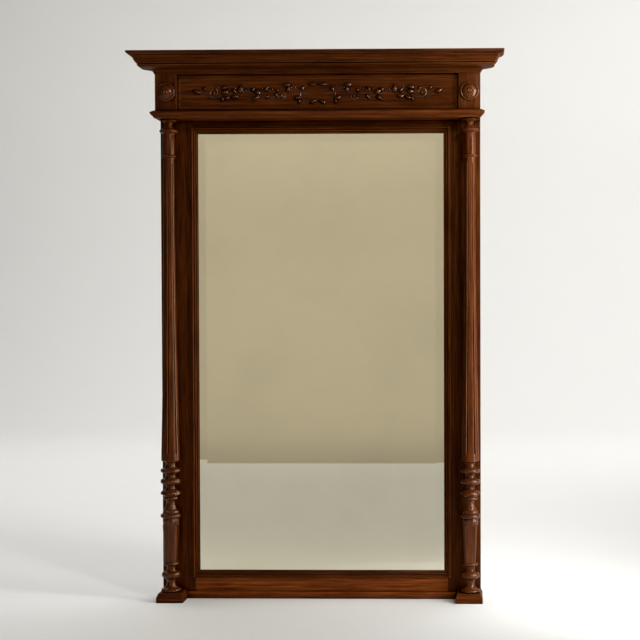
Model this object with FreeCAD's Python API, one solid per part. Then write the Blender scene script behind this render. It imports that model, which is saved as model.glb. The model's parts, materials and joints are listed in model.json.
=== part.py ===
import FreeCAD, Part
import math
import os

Vector = FreeCAD.Vector

# Lengths in millimetres. Z is up from the floor, the front of the mirror faces -Y.

# Fits between the pieces
GLUE_FIT = 0.15
PIN_FIT = 0.06
LOOSE_FIT = 1.0

# Frame round the glass
SIGHT_WIDTH = 776.0
STILE_WIDTH = 104.0
FRAME_THICK = 36.0
TOP_RAIL_THICK = 22.0
TOP_RAIL_HEIGHT = 122.0
TOP_RAIL_DROP = 27.0
BOTTOM_RAIL_HEIGHT = 76.0
TENON_THICK = 9.0
TENON_LENGTH = 62.0
TENON_SHOULDER = 14.0
PEG_RADIUS = 4.5
PEG_LENGTH = 27.0
PEG_SHARES = (0.4, 0.6)

# Sight moulding, its section measured out from the sight edge and forward of the frame face
MOULDING_OVERHANG = 11.0
MOULDING_WIDTH = 21.5
MOULDING_LEG = 8.2
SIGHT_BEADS = (
    (21.5, 0.0, 0.0),
    (21.5, 1.6, 0.0),
    (19.0, 1.6, 0.0),
    (19.0, 2.6, 0.0),
    (12.5, 2.6, 3.2),
    (12.0, 0.6, 0.0),
    (11.2, 0.6, 0.0),
    (6.2, -0.8, 2.3),
    (5.6, -2.4, 0.0),
    (4.4, -2.4, 0.0),
    (0.0, -3.6, 1.6),
)

# Bevelled glass and what holds it
GLASS_THICK = 6.0
GLASS_EDGE = 3.0
GLASS_COVER = 9.0
BEVEL_WIDTH = 35.0
GLASS_BLOCK_LENGTH = 60.0
GLASS_BLOCK_INSET = 180.0
WEDGE_LENGTH = 45.0
WEDGE_FOOT = 9.0
WEDGE_SHARES = (0.15, 0.4, 0.65, 0.9)

# Back boards and the turn buttons that hold them
BOARD_COUNT = 5
BOARD_THICK = 8.0
BOARD_LAP = 12.0
TONGUE_THICK = 2.6
TONGUE_DEPTH = 5.0
LEDGE_WIDTH = 34.0
BUTTON_LENGTH = 44.0
BUTTON_WIDTH = 14.0
BUTTON_THICK = 2.5
BUTTON_TAIL = 9.0
BUTTON_PIVOT = 14.0
BUTTON_BOARDS = (0, 2, 4)
PIVOT_RADIUS = 2.0
PIVOT_DEPTH = 16.0
PIVOT_HEAD_RADIUS = 4.2
PIVOT_HEAD_THICK = 1.6

# Hanger straps and rings on the back of the top rail
HANGER_INSET = 69.0
STRAP_WIDTH = 18.0
STRAP_THICK = 1.8
STRAP_LENGTH = 58.0
STRAP_END = 9.0
RING_WIRE = 1.9
RING_WIDTH = 36.0
RING_DROP = 34.0
RING_CORNER = 6.0
STRAP_SCREW_RADIUS = 1.9
STRAP_SCREW_LENGTH = 15.0
STRAP_SCREW_HEAD = 3.6

# Plinths and columns
PLINTH_WIDTH = 84.0
PLINTH_OVERHANG = 5.5
PLINTH_FRONT = 74.0
PLINTH_HEIGHT = 29.0
PLINTH_SLAB = 16.0
PLINTH_CHAMFER = 6.2
COLUMN_INSET = 33.5
COLUMN_SETOFF = 33.0
SPIGOT_RADIUS = 9.0
SPIGOT_LENGTH = 15.0
SHAFT_HEIGHT = 942.0
SHAFT_FOOT = 29.0
SHAFT_HEAD = 17.0
SHAFT_RIM = 20.0
SHAFT_NECK = 13.0
FLUTE_COUNT = 7
FLUTE_HALF_ANGLE = 6.0
FLUTE_DEPTH = 0.12
FLUTE_STATIONS = 7
LEFT_SHAFT_TURN = 0.0
RIGHT_SHAFT_TURN = -19.0
VASE_HEIGHT = 118.0
# Vases: half width and chamfer of their square section
VASE_FOOT = (17.6, 4.2)
VASE_HEAD = (22.4, 5.6)

# Turned runs from the foot up: rise, radius at the top of the run, outward swell of the run
BALUSTER_FOOT = (
    (0.0, 29.5, 0.0),
    (9.0, 29.5, 2.0),
    (19.0, 14.0, -4.5),
    (15.0, 20.0, -3.0),
    (20.0, 20.0, 9.4),
    (11.0, 13.8, -2.5),
    (9.5, 19.5, -2.5),
    (9.0, 19.5, 4.4),
)
BALUSTER_HEAD = (
    (0.0, 23.5, 0.0),
    (21.5, 23.5, 0.8),
    (0.0, 26.5, 0.0),
    (13.0, 26.5, 5.5),
    (0.0, 24.5, 0.0),
    (9.0, 24.5, 0.8),
    (14.0, 16.5, -2.0),
    (10.0, 13.5, -0.8),
    (6.0, 13.5, 0.0),
    (5.0, 19.0, -1.0),
    (9.0, 21.0, 3.5),
    (9.0, 31.6, -1.5),
    (13.0, 20.0, 3.0),
    (10.0, 14.4, -2.0),
    (8.0, 23.5, -2.5),
    (17.0, 23.5, 8.0),
    (10.0, 15.6, -2.5),
    (9.0, 25.0, -2.5),
    (13.0, 25.0, 6.3),
    (13.0, 15.0, -3.5),
    (9.0, 22.0, -2.5),
    (3.0, 25.5, 0.0),
)
CAPITAL = (
    (0.0, 17.5, 0.0),
    (3.0, 18.0, 0.0),
    (0.0, 21.0, 0.0),
    (7.0, 21.0, 3.0),
    (0.0, 18.0, 0.0),
    (62.0, 18.0, 0.6),
    (9.0, 24.0, -2.5),
    (10.0, 24.5, 4.0),
    (17.0, 11.5, -4.5),
    (8.0, 22.0, -3.0),
    (0.0, 24.5, 0.0),
    (6.0, 24.5, 1.5),
)

# Entablature
ENTABLATURE_DEPTH = 70.0
FRIEZE_HEIGHT = 111.0
FRIEZE_BOARD = 20.0
FRIEZE_RECESS = 9.0
FIELD_DEPTH = 2.5
FIELD_TOP = 16.0
FIELD_BOTTOM = 9.0
FIELD_END = 9.0
BLOCK_WIDTH = 67.0
END_BOARD = 20.0
ROUNDEL_SPIGOT = 6.0
ROUNDEL_SPIGOT_LENGTH = 7.0
ROUNDEL = (
    (0.0, 28.5, 0.0),
    (4.0, 28.5, 1.0),
    (1.5, 25.0, 0.8),
    (-2.0, 23.5, 0.0),
    (8.5, 7.6, 1.4),
    (-1.4, 6.4, 0.0),
    (2.4, 2.0, 1.2),
    (0.0, 0.0, 0.0),
)

# Moulded edges from the foot up: rise, projection at the top of the run, outward swell of the run
STRIP_EDGE = (
    (0.0, 7.0, 0.0),
    (18.0, 7.0, 0.0),
    (4.0, 3.0, 1.6),
)
ARCHITRAVE_EDGE = (
    (0.0, 2.8, 0.0),
    (7.0, 8.5, -0.6),
    (6.0, 13.0, 0.4),
    (6.0, 10.5, 2.0),
    (5.0, 0.0, 0.8),
)
BED_EDGE = (
    (0.0, 1.4, 0.0),
    (11.0, 10.4, -1.6),
)
SOFFIT_EDGE = (
    (0.0, 13.0, 0.0),
    (3.5, 33.0, 0.0),
    (2.0, 39.0, 0.4),
    (6.5, 44.0, 1.4),
    (0.0, 39.5, 0.0),
    (3.0, 39.5, 0.0),
)
CROWN_EDGE = (
    (0.0, 46.0, 0.0),
    (2.0, 47.0, 0.0),
    (10.5, 53.5, 0.9),
    (8.5, 59.6, -0.9),
    (1.0, 59.6, 0.0),
)
TOP_BOARD_EDGE = (
    (0.0, 61.5, 0.0),
    (6.5, 71.4, 1.2),
    (5.5, 72.0, 0.8),
)

# Inside of the cornice
RETURN_LAP = 5.0
CROWN_BACK = 26.0
CORNICE_BOARD = 12.0
GLUE_BLOCK_LEG = 18.0
GLUE_BLOCK_LENGTH = 60.0
GLUE_BLOCK_COUNT = 5

# Screws from the back of the frame
SCREW_RADIUS = 2.2
SCREW_HEAD = 4.4
SCREW_HEAD_DEPTH = 3.0
SCREW_LENGTH = 62.0
PLINTH_SCREW_Z = 9.0
ARCHITRAVE_SCREW_EDGE = 19.0

# Carved foliage on the right half of the field, measured from the middle of the field
STEM_RADIUS = 3.0
STEM_START = 26.0
STEM_BAY = 84.0
STEM_BAYS = 4
STEM_SWAY = 10.0
SCROLL_RIDGE = 3.7
LEAF_TIP = 0.45
# Scrolls: across, up, radius, first and last angle
SCROLLS = (
    (314.0, 6.0, 17.0, -150.0, 130.0),
    (216.0, 12.0, 10.0, -60.0, 220.0),
    (116.0, -7.0, 12.0, -200.0, 90.0),
    (30.0, 2.0, 24.0, -75.0, 75.0),
)
# Berries: across, up, radius
BERRIES = (
    (312.0, 9.0, 7.0),
    (281.0, 3.0, 6.5),
    (216.0, 12.0, 5.5),
    (144.0, 10.0, 6.5),
    (122.0, 10.0, 6.0),
    (116.0, -8.0, 5.5),
)
# Leaves: root across and up, angle, length, root radius
LEAVES = (
    (358.0, 6.0, 8.0, 18.0, 5.5),
    (300.0, 20.0, 165.0, 18.0, 5.5),
    (262.0, -12.0, 195.0, 16.0, 5.5),
    (280.0, -13.0, 325.0, 16.0, 5.0),
    (232.0, 6.0, 75.0, 20.0, 6.5),
    (194.0, -2.0, 20.0, 13.0, 5.5),
    (180.0, -16.0, 350.0, 20.0, 5.5),
    (168.0, 13.0, 130.0, 16.0, 5.0),
    (92.0, 8.0, 60.0, 18.0, 6.0),
    (100.0, 27.0, 170.0, 18.0, 5.0),
    (72.0, -15.0, 200.0, 18.0, 5.5),
    (44.0, -16.0, 230.0, 16.0, 5.0),
    (8.0, -28.0, 10.0, 18.0, 5.0),
    (6.0, 25.0, 350.0, 26.0, 5.0),
)


def rise_of(runs):
    return sum(run[0] for run in runs)


# Places worked out from the sizes above
BALUSTER_HEIGHT = rise_of(BALUSTER_FOOT) + VASE_HEIGHT + rise_of(BALUSTER_HEAD)
SHAFT_BOTTOM = PLINTH_HEIGHT + BALUSTER_HEIGHT
CAPITAL_BOTTOM = SHAFT_BOTTOM + SHAFT_HEIGHT
ARCHITRAVE_BOTTOM = CAPITAL_BOTTOM + rise_of(CAPITAL)
FRIEZE_BOTTOM = ARCHITRAVE_BOTTOM + rise_of(ARCHITRAVE_EDGE)
FRIEZE_TOP = FRIEZE_BOTTOM + FRIEZE_HEIGHT
SOFFIT_BOTTOM = FRIEZE_TOP + rise_of(BED_EDGE)
CROWN_BOTTOM = SOFFIT_BOTTOM + rise_of(SOFFIT_EDGE)
TOP_BOARD_BOTTOM = CROWN_BOTTOM + rise_of(CROWN_EDGE)
CORNICE_OUT = max(run[1] for run in TOP_BOARD_EDGE)

OPENING_X = SIGHT_WIDTH / 2 + MOULDING_OVERHANG
OPENING_BOTTOM = BOTTOM_RAIL_HEIGHT
OPENING_TOP = ARCHITRAVE_BOTTOM - TOP_RAIL_DROP
SIGHT_X = SIGHT_WIDTH / 2
SIGHT_BOTTOM = OPENING_BOTTOM + MOULDING_OVERHANG
SIGHT_TOP = OPENING_TOP - MOULDING_OVERHANG
FRAME_X = OPENING_X + STILE_WIDTH
TOP_RAIL_TOP = OPENING_TOP + TOP_RAIL_HEIGHT

BACK = (FRAME_THICK + ENTABLATURE_DEPTH + CORNICE_OUT) / 2
FACE = BACK - FRAME_THICK
FRIEZE_FACE = FACE - ENTABLATURE_DEPTH
PANEL_FACE = FRIEZE_FACE + FRIEZE_RECESS
RETURN_BACK = FRIEZE_FACE + RETURN_LAP
FIELD_FACE = PANEL_FACE + FIELD_DEPTH
FIELD_X = FRAME_X - BLOCK_WIDTH - FIELD_END
FIELD_WIDTH = (-FIELD_X, FIELD_X)
FIELD_HEIGHT = (FRIEZE_BOTTOM + FIELD_BOTTOM, FRIEZE_TOP - FIELD_TOP)
FIELD_MIDDLE = sum(FIELD_HEIGHT) / 2
TOP_RAIL_BACK = FACE + TOP_RAIL_THICK
BOARD_BACK = TOP_RAIL_BACK + BOARD_THICK
REBATE_X = OPENING_X + BOARD_LAP
LEDGE_X = REBATE_X + LEDGE_WIDTH
REBATE_BOTTOM = OPENING_BOTTOM - BOARD_LAP
REBATE_TOP = OPENING_TOP + BOARD_LAP
COLUMN_X = FRAME_X - COLUMN_INSET
HANGER_X = OPENING_X - HANGER_INSET
PLINTH_OUTER = FRAME_X + PLINTH_OVERHANG
PLINTH_INNER = PLINTH_OUTER - PLINTH_WIDTH
COLUMN_Y = FACE - COLUMN_SETOFF
GLASS_RISE = (GLASS_THICK - GLASS_EDGE) * (BEVEL_WIDTH - GLASS_COVER) / BEVEL_WIDTH
GLASS_FACE = FACE + MOULDING_LEG + GLUE_FIT - GLASS_RISE
GLASS_BACK = GLASS_FACE + GLASS_THICK
GLASS_X = SIGHT_X + GLASS_COVER
GLASS_BOTTOM = SIGHT_BOTTOM - GLASS_COVER
GLASS_TOP = SIGHT_TOP + GLASS_COVER

X_AXIS = Vector(1, 0, 0)
Y_AXIS = Vector(0, 1, 0)
Z_AXIS = Vector(0, 0, 1)
FULL_TURN = 360.0
QUARTER_TURN = FULL_TURN / 4


def block(x_range, y_range, z_range):
    corner = Vector(x_range[0], y_range[0], z_range[0])
    sides = [end - start for start, end in (x_range, y_range, z_range)]
    return Part.makeBox(sides[0], sides[1], sides[2], corner)


def mirrored(shape):
    return shape.mirror(Vector(0, 0, 0), X_AXIS)


def outline_edges(points, place):
    # Each point holds the swell of the run that leads to it, to the right of the way of travel.
    edges = []
    for start, end in zip(points, points[1:]):
        across = end[0] - start[0]
        along = end[1] - start[1]
        length = math.hypot(across, along)
        if length == 0:
            continue
        first = place(start[0], start[1])
        last = place(end[0], end[1])
        if end[2] == 0:
            edges.append(Part.makeLine(first, last))
            continue
        middle_across = (start[0] + end[0]) / 2 + end[2] * along / length
        middle_along = (start[1] + end[1]) / 2 - end[2] * across / length
        middle = place(middle_across, middle_along)
        edges.append(Part.Arc(first, middle, last).toShape())
    return edges


def section(points, place):
    closed = list(points) + [(points[0][0], points[0][1], 0.0)]
    return Part.Face(Part.Wire(outline_edges(closed, place)))


def edge_points(edge, inner, low):
    # The section of a moulded edge that stands on a level, closed at its inner line.
    level = low
    points = [(inner, low, 0.0)]
    for rise, out, swell in edge:
        level += rise
        points.append((out, level, swell))
    return points + [(inner, level, 0.0)]


def turned(runs):
    # A turned piece on the Z axis, standing on Z = 0.
    height = 0.0
    points = [(0.0, 0.0, 0.0)]
    for rise, radius, swell in runs:
        height += rise
        points.append((radius, height, swell))
    if points[-1][0] > 0:
        points.append((0.0, height, 0.0))
    face = section(points, lambda radius, level: Vector(radius, 0, level))
    return face.revolve(Vector(0, 0, 0), Z_AXIS, FULL_TURN)


def polar(radius, angle, level):
    return Vector(radius * math.cos(math.radians(angle)), radius * math.sin(math.radians(angle)), level)


def fluted_ring(radius, level):
    # A ring round the Z axis with narrow flutes cut into it, the first one facing the front.
    edges = []
    step = FULL_TURN / FLUTE_COUNT
    for number in range(FLUTE_COUNT):
        middle = step * number - QUARTER_TURN
        first = polar(radius, middle - FLUTE_HALF_ANGLE, level)
        deep = polar(radius * (1 - FLUTE_DEPTH), middle, level)
        last = polar(radius, middle + FLUTE_HALF_ANGLE, level)
        crest = polar(radius, middle + step / 2, level)
        following = polar(radius, middle + step - FLUTE_HALF_ANGLE, level)
        edges.append(Part.Arc(first, deep, last).toShape())
        edges.append(Part.Arc(last, crest, following).toShape())
    return Part.Wire(edges)


def chamfered_square(half, chamfer, level):
    flat = half - chamfer
    corners = [(half, flat), (flat, half), (-flat, half), (-half, flat)]
    corners += [(-across, -along) for across, along in corners]
    return Part.makePolygon([Vector(across, along, level) for across, along in corners + corners[:1]])


def spigot_hole(place_z, upward):
    reach = Z_AXIS if upward else Z_AXIS.negative()
    foot = Vector(0, 0, place_z)
    return Part.makeCylinder(SPIGOT_RADIUS + GLUE_FIT, SPIGOT_LENGTH + LOOSE_FIT, foot, reach)


def spigot(place_z):
    return Part.makeCylinder(SPIGOT_RADIUS, SPIGOT_LENGTH, Vector(0, 0, place_z), Z_AXIS)


def make_baluster():
    vase_bottom = rise_of(BALUSTER_FOOT)
    vase_top = vase_bottom + VASE_HEIGHT
    rings = [chamfered_square(*VASE_FOOT, vase_bottom), chamfered_square(*VASE_HEAD, vase_top)]
    vase = Part.makeLoft(rings, True, True)
    head = turned(BALUSTER_HEAD)
    head.translate(Vector(0, 0, vase_top))
    body = turned(BALUSTER_FOOT).multiFuse([vase, head])
    body = body.fuse(Part.makeCylinder(SPIGOT_RADIUS, SPIGOT_LENGTH, Vector(0, 0, 0), Z_AXIS.negative()))
    return body.cut(spigot_hole(BALUSTER_HEIGHT, False)).removeSplitter()


def shaft_radius(level):
    # The shaft swells towards its foot along a slow curve.
    share = 1.0 - level / SHAFT_HEIGHT
    return SHAFT_HEAD + (SHAFT_FOOT - SHAFT_HEAD) * share * share


def make_shaft():
    lowest = SHAFT_RIM
    highest = SHAFT_HEIGHT - SHAFT_NECK
    rings = []
    for station in range(FLUTE_STATIONS):
        level = lowest + (highest - lowest) * station / (FLUTE_STATIONS - 1)
        rings.append(fluted_ring(shaft_radius(level), level))
    fluted = Part.makeLoft(rings, True, False)
    rim = Part.makeCone(SHAFT_FOOT - LOOSE_FIT, shaft_radius(lowest), lowest)
    neck = Part.makeCylinder(shaft_radius(highest), SHAFT_NECK, Vector(0, 0, highest), Z_AXIS)
    foot = Part.makeCylinder(SPIGOT_RADIUS, SPIGOT_LENGTH, Vector(0, 0, 0), Z_AXIS.negative())
    body = rim.multiFuse([fluted, neck, foot])
    return body.fuse(spigot(SHAFT_HEIGHT))


def make_capital():
    body = turned(CAPITAL).fuse(spigot(rise_of(CAPITAL)))
    return body.cut(spigot_hole(0.0, True))


def set_in_row(shape, side, level, turn):
    moved = shape.copy()
    moved.rotate(Vector(0, 0, 0), Z_AXIS, turn)
    moved.translate(Vector(side * COLUMN_X, COLUMN_Y, level))
    return moved


def column_hole(level, upward):
    hole = spigot_hole(0.0, upward)
    hole.translate(Vector(COLUMN_X, COLUMN_Y, level))
    return hole


def screw(head_place, reach):
    # A countersunk screw driven along the given direction, its head flush with the starting face.
    head = Part.makeCone(SCREW_HEAD, SCREW_RADIUS, SCREW_HEAD_DEPTH, head_place, reach)
    return head.fuse(Part.makeCylinder(SCREW_RADIUS, SCREW_LENGTH, head_place, reach))


def screw_hole(head_place, reach):
    head = Part.makeCone(
        SCREW_HEAD + GLUE_FIT, SCREW_RADIUS + GLUE_FIT, SCREW_HEAD_DEPTH, head_place, reach
    )
    shank = Part.makeCylinder(SCREW_RADIUS + GLUE_FIT, SCREW_LENGTH + LOOSE_FIT, head_place, reach)
    return head.fuse(shank)


def plinth_screw_places():
    middle = FRAME_X - PLINTH_WIDTH / 2
    spread = PLINTH_WIDTH / 4
    return [Vector(middle + side * spread, BACK, PLINTH_SCREW_Z) for side in (-1, 1)]


def architrave_screw_place():
    middle = (ARCHITRAVE_BOTTOM + FRIEZE_BOTTOM) / 2
    return Vector(FRAME_X - ARCHITRAVE_SCREW_EDGE, BACK, middle)


def tenon(rail_range, thick_range, grow):
    # The tenon on the right end of a rail, grown a little for the mortise that takes it.
    middle = (thick_range[0] + thick_range[1]) / 2
    return block(
        (OPENING_X, OPENING_X + TENON_LENGTH + grow),
        (middle - TENON_THICK / 2 - grow, middle + TENON_THICK / 2 + grow),
        (rail_range[0] + TENON_SHOULDER - grow, rail_range[1] - TENON_SHOULDER + grow),
    )


RAILS = (
    ((0.0, BOTTOM_RAIL_HEIGHT), (FACE, FACE + TOP_RAIL_THICK)),
    ((OPENING_TOP, TOP_RAIL_TOP), (FACE, FACE + TOP_RAIL_THICK)),
)


def peg_places():
    places = []
    for heights, _ in RAILS:
        span = heights[1] - heights[0]
        for share in PEG_SHARES:
            level = heights[0] + span * share
            places.append(Vector(OPENING_X + TENON_LENGTH / 2, BACK, level))
    return places


def peg(place, grow):
    return Part.makeCylinder(PEG_RADIUS + grow, PEG_LENGTH + grow, place, Y_AXIS.negative())


def button_levels():
    height = (REBATE_TOP - REBATE_BOTTOM) / BOARD_COUNT
    return [REBATE_BOTTOM + height * (number + 0.5) for number in BUTTON_BOARDS]


def button_pivot(level):
    return Vector(REBATE_X + BUTTON_PIVOT, BOARD_BACK, level)


def make_stile():
    body = block((OPENING_X, FRAME_X), (FACE, BACK), (0.0, SOFFIT_BOTTOM))
    cuts = [
        block((OPENING_X, REBATE_X), (TOP_RAIL_BACK, BACK), (REBATE_BOTTOM, REBATE_TOP)),
        block((OPENING_X, LEDGE_X), (BOARD_BACK, BACK), (REBATE_BOTTOM, REBATE_TOP)),
    ]
    for heights, depths in RAILS:
        cuts.append(tenon(heights, depths, GLUE_FIT))
    for place in peg_places():
        cuts.append(peg(place, GLUE_FIT))
    for place in plinth_screw_places() + [architrave_screw_place()]:
        cuts.append(screw_hole(place, Y_AXIS.negative()))
    for level in button_levels():
        pilot = PIVOT_DEPTH + GLUE_FIT
        cuts.append(
            Part.makeCylinder(PIVOT_RADIUS + GLUE_FIT, pilot, button_pivot(level), Y_AXIS.negative())
        )
    return body.cut(Part.makeCompound(cuts))


def with_tenons(body, heights, depths):
    right = tenon(heights, depths, 0.0)
    pieces = body.multiFuse([right, mirrored(right)])
    holes = []
    for place in peg_places():
        hole = peg(place, GLUE_FIT)
        holes.extend([hole, mirrored(hole)])
    return pieces.cut(Part.makeCompound(holes)).removeSplitter()


def make_top_rail():
    heights, depths = RAILS[1]
    body = block((-OPENING_X, OPENING_X), depths, heights)
    holes = []
    for place in strap_screw_places():
        hole = strap_screw(place, GLUE_FIT)
        holes.extend([hole, mirrored(hole)])
    return with_tenons(body.cut(Part.makeCompound(holes)), heights, depths)


def make_bottom_rail():
    heights, depths = RAILS[0]
    body = block((-OPENING_X, OPENING_X), (FACE, BACK), heights)
    rebate = block((-OPENING_X, OPENING_X), (TOP_RAIL_BACK, BACK), (REBATE_BOTTOM, OPENING_BOTTOM))
    return with_tenons(body.cut(rebate), heights, depths)


def make_pegs():
    pegs = []
    for place in peg_places():
        pegs.extend([peg(place, 0.0), mirrored(peg(place, 0.0))])
    return Part.makeCompound(pegs)


def prism_front(corners, y_range):
    spots = [Vector(x, y_range[0], z) for x, z in corners]
    face = Part.Face(Part.makePolygon(spots + spots[:1]))
    return face.extrude(Vector(0, y_range[1] - y_range[0], 0))


def prism_plan(corners, z_range):
    spots = [Vector(x, y, z_range[0]) for x, y in corners]
    face = Part.Face(Part.makePolygon(spots + spots[:1]))
    return face.extrude(Vector(0, 0, z_range[1] - z_range[0]))


def moulding_section():
    # The beads, then the leg that reaches down inside the frame opening to the glass.
    leg = MOULDING_OVERHANG - GLUE_FIT
    return SIGHT_BEADS + (
        (0.0, -MOULDING_LEG, 0.0),
        (leg, -MOULDING_LEG, 0.0),
        (leg, 0.0, 0.0),
    )


def make_upright_moulding():
    points = moulding_section()
    low = SIGHT_BOTTOM - MOULDING_WIDTH
    high = SIGHT_TOP + MOULDING_WIDTH
    face = section(points, lambda out, forward: Vector(SIGHT_X + out, FACE - forward, low))
    run = face.extrude(Vector(0, 0, high - low))
    outer = SIGHT_X + MOULDING_WIDTH
    corners = [(SIGHT_X, SIGHT_BOTTOM), (outer, low), (outer, high), (SIGHT_X, SIGHT_TOP)]
    return run.common(prism_front(corners, (FRIEZE_FACE, BACK)))


def make_level_moulding(edge, away):
    points = moulding_section()
    outer = SIGHT_X + MOULDING_WIDTH
    far = edge + away * MOULDING_WIDTH
    face = section(points, lambda out, forward: Vector(-outer, FACE - forward, edge + away * out))
    run = face.extrude(Vector(2 * outer, 0, 0))
    corners = [(-SIGHT_X, edge), (-outer, far), (outer, far), (SIGHT_X, edge)]
    return run.common(prism_front(corners, (FRIEZE_FACE, BACK)))


def glass_ring(inset, depth):
    left = -GLASS_X + inset
    low = GLASS_BOTTOM + inset
    high = GLASS_TOP - inset
    spots = [Vector(x, depth, z) for x, z in ((left, low), (-left, low), (-left, high), (left, high))]
    return Part.makePolygon(spots + spots[:1])


def make_glass():
    edge_front = GLASS_BACK - GLASS_EDGE
    plate = Part.makeLoft([glass_ring(0.0, GLASS_BACK), glass_ring(0.0, edge_front)], True, True)
    bevel = Part.makeLoft([glass_ring(0.0, edge_front), glass_ring(BEVEL_WIDTH, GLASS_FACE)], True, True)
    return plate.fuse(bevel).removeSplitter()


def make_setting_blocks():
    start = GLASS_X - GLASS_BLOCK_INSET
    right = block(
        (start - GLASS_BLOCK_LENGTH, start), (FACE + MOULDING_LEG, GLASS_BACK), (OPENING_BOTTOM, GLASS_BOTTOM)
    )
    return Part.makeCompound([right, mirrored(right)])


def wedge_prism(corners, length):
    face = Part.Face(Part.makePolygon(corners + corners[:1]))
    return face.extrude(length)


def make_wedges():
    wedges = []
    front = GLASS_BACK
    rear = TOP_RAIL_BACK - LOOSE_FIT
    span = OPENING_TOP - OPENING_BOTTOM
    for share in WEDGE_SHARES:
        low = OPENING_BOTTOM + span * share - WEDGE_LENGTH
        corners = [
            Vector(OPENING_X, front, low),
            Vector(OPENING_X - WEDGE_FOOT, front, low),
            Vector(OPENING_X, rear, low),
        ]
        wedge = wedge_prism(corners, Vector(0, 0, WEDGE_LENGTH))
        wedges.extend([wedge, mirrored(wedge)])
    for edge, away in ((OPENING_BOTTOM, 1), (OPENING_TOP, -1)):
        start = OPENING_X / 2
        corners = [
            Vector(start, front, edge),
            Vector(start, front, edge + away * WEDGE_FOOT),
            Vector(start, rear, edge),
        ]
        wedge = wedge_prism(corners, Vector(WEDGE_LENGTH, 0, 0))
        wedges.extend([wedge, mirrored(wedge)])
    return Part.makeCompound(wedges)


def make_board(number):
    # Boards lie one above the other, a tongue on each upper edge let into the next board.
    low = REBATE_BOTTOM + LOOSE_FIT
    height = (REBATE_TOP - REBATE_BOTTOM - 2 * LOOSE_FIT) / BOARD_COUNT
    bottom = low + number * height
    half = REBATE_X - LOOSE_FIT
    middle = (TOP_RAIL_BACK + BOARD_BACK) / 2
    tongue_range = (middle - TONGUE_THICK / 2, middle + TONGUE_THICK / 2)
    top = bottom + height - GLUE_FIT
    body = block((-half, half), (TOP_RAIL_BACK, BOARD_BACK), (bottom, top))
    if number > 0:
        groove_range = (tongue_range[0] - GLUE_FIT, tongue_range[1] + GLUE_FIT)
        groove = block((-half, half), groove_range, (bottom, bottom + TONGUE_DEPTH + LOOSE_FIT))
        body = body.cut(groove)
    if number < BOARD_COUNT - 1:
        body = body.fuse(block((-half, half), tongue_range, (top, top + TONGUE_DEPTH)))
    return body.removeSplitter()


def make_button(level):
    # The nose points at the middle of the glass and lies over the edge of the boards.
    pivot = button_pivot(level)
    front = BOARD_BACK + GLUE_FIT
    round_end = BUTTON_WIDTH / 2
    nose_x = pivot.x - (BUTTON_LENGTH - BUTTON_TAIL - round_end)
    tail_x = pivot.x + BUTTON_TAIL - round_end
    bar = block(
        (nose_x, tail_x), (front, front + BUTTON_THICK), (level - round_end, level + round_end)
    )
    ends = [
        Part.makeCylinder(round_end, BUTTON_THICK, Vector(x, front, level), Y_AXIS)
        for x in (nose_x, tail_x)
    ]
    hole = Part.makeCylinder(
        PIVOT_RADIUS + PIN_FIT, BUTTON_THICK, Vector(pivot.x, front, level), Y_AXIS
    )
    return bar.multiFuse(ends).removeSplitter().cut(hole)


def make_pivot_screw(level):
    pivot = button_pivot(level)
    head_front = BOARD_BACK + BUTTON_THICK + 2 * GLUE_FIT
    shank = Part.makeCylinder(
        PIVOT_RADIUS,
        PIVOT_DEPTH + head_front - BOARD_BACK,
        Vector(pivot.x, head_front, level),
        Y_AXIS.negative(),
    )
    head = Part.makeCylinder(PIVOT_HEAD_RADIUS, PIVOT_HEAD_THICK, Vector(pivot.x, head_front, level), Y_AXIS)
    return shank.fuse(head)


BARREL_RADIUS = RING_WIRE + PIN_FIT + STRAP_THICK
BARREL_Y = TOP_RAIL_BACK + BARREL_RADIUS
BARREL_Z = (REBATE_TOP + TOP_RAIL_TOP) / 2 - STRAP_END


def strap_screw_places():
    top = BARREL_Z + STRAP_LENGTH - STRAP_END
    bottom = top - STRAP_LENGTH / 3
    return [Vector(HANGER_X, TOP_RAIL_BACK + STRAP_THICK, level) for level in (bottom, top)]


def strap_screw(place, grow):
    head = Part.makeCone(
        STRAP_SCREW_HEAD + grow, STRAP_SCREW_RADIUS + grow, STRAP_THICK, place, Y_AXIS.negative()
    )
    shank_length = STRAP_SCREW_LENGTH + grow
    return head.fuse(Part.makeCylinder(STRAP_SCREW_RADIUS + grow, shank_length, place, Y_AXIS.negative()))


def make_strap():
    # A plate on the rail whose lower end is rolled round the straight side of the ring.
    side = STRAP_WIDTH / 2
    x_range = (HANGER_X - side, HANGER_X + side)
    plate = block(
        x_range, (TOP_RAIL_BACK, TOP_RAIL_BACK + STRAP_THICK), (BARREL_Z, BARREL_Z + STRAP_LENGTH)
    )
    start = Vector(x_range[0], BARREL_Y, BARREL_Z)
    barrel = Part.makeCylinder(BARREL_RADIUS, STRAP_WIDTH, start, X_AXIS)
    bore = Part.makeCylinder(RING_WIRE + PIN_FIT, STRAP_WIDTH, start, X_AXIS)
    holes = [strap_screw(place, GLUE_FIT) for place in strap_screw_places()]
    return plate.fuse(barrel).cut(Part.makeCompound([bore] + holes)).removeSplitter()


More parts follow.
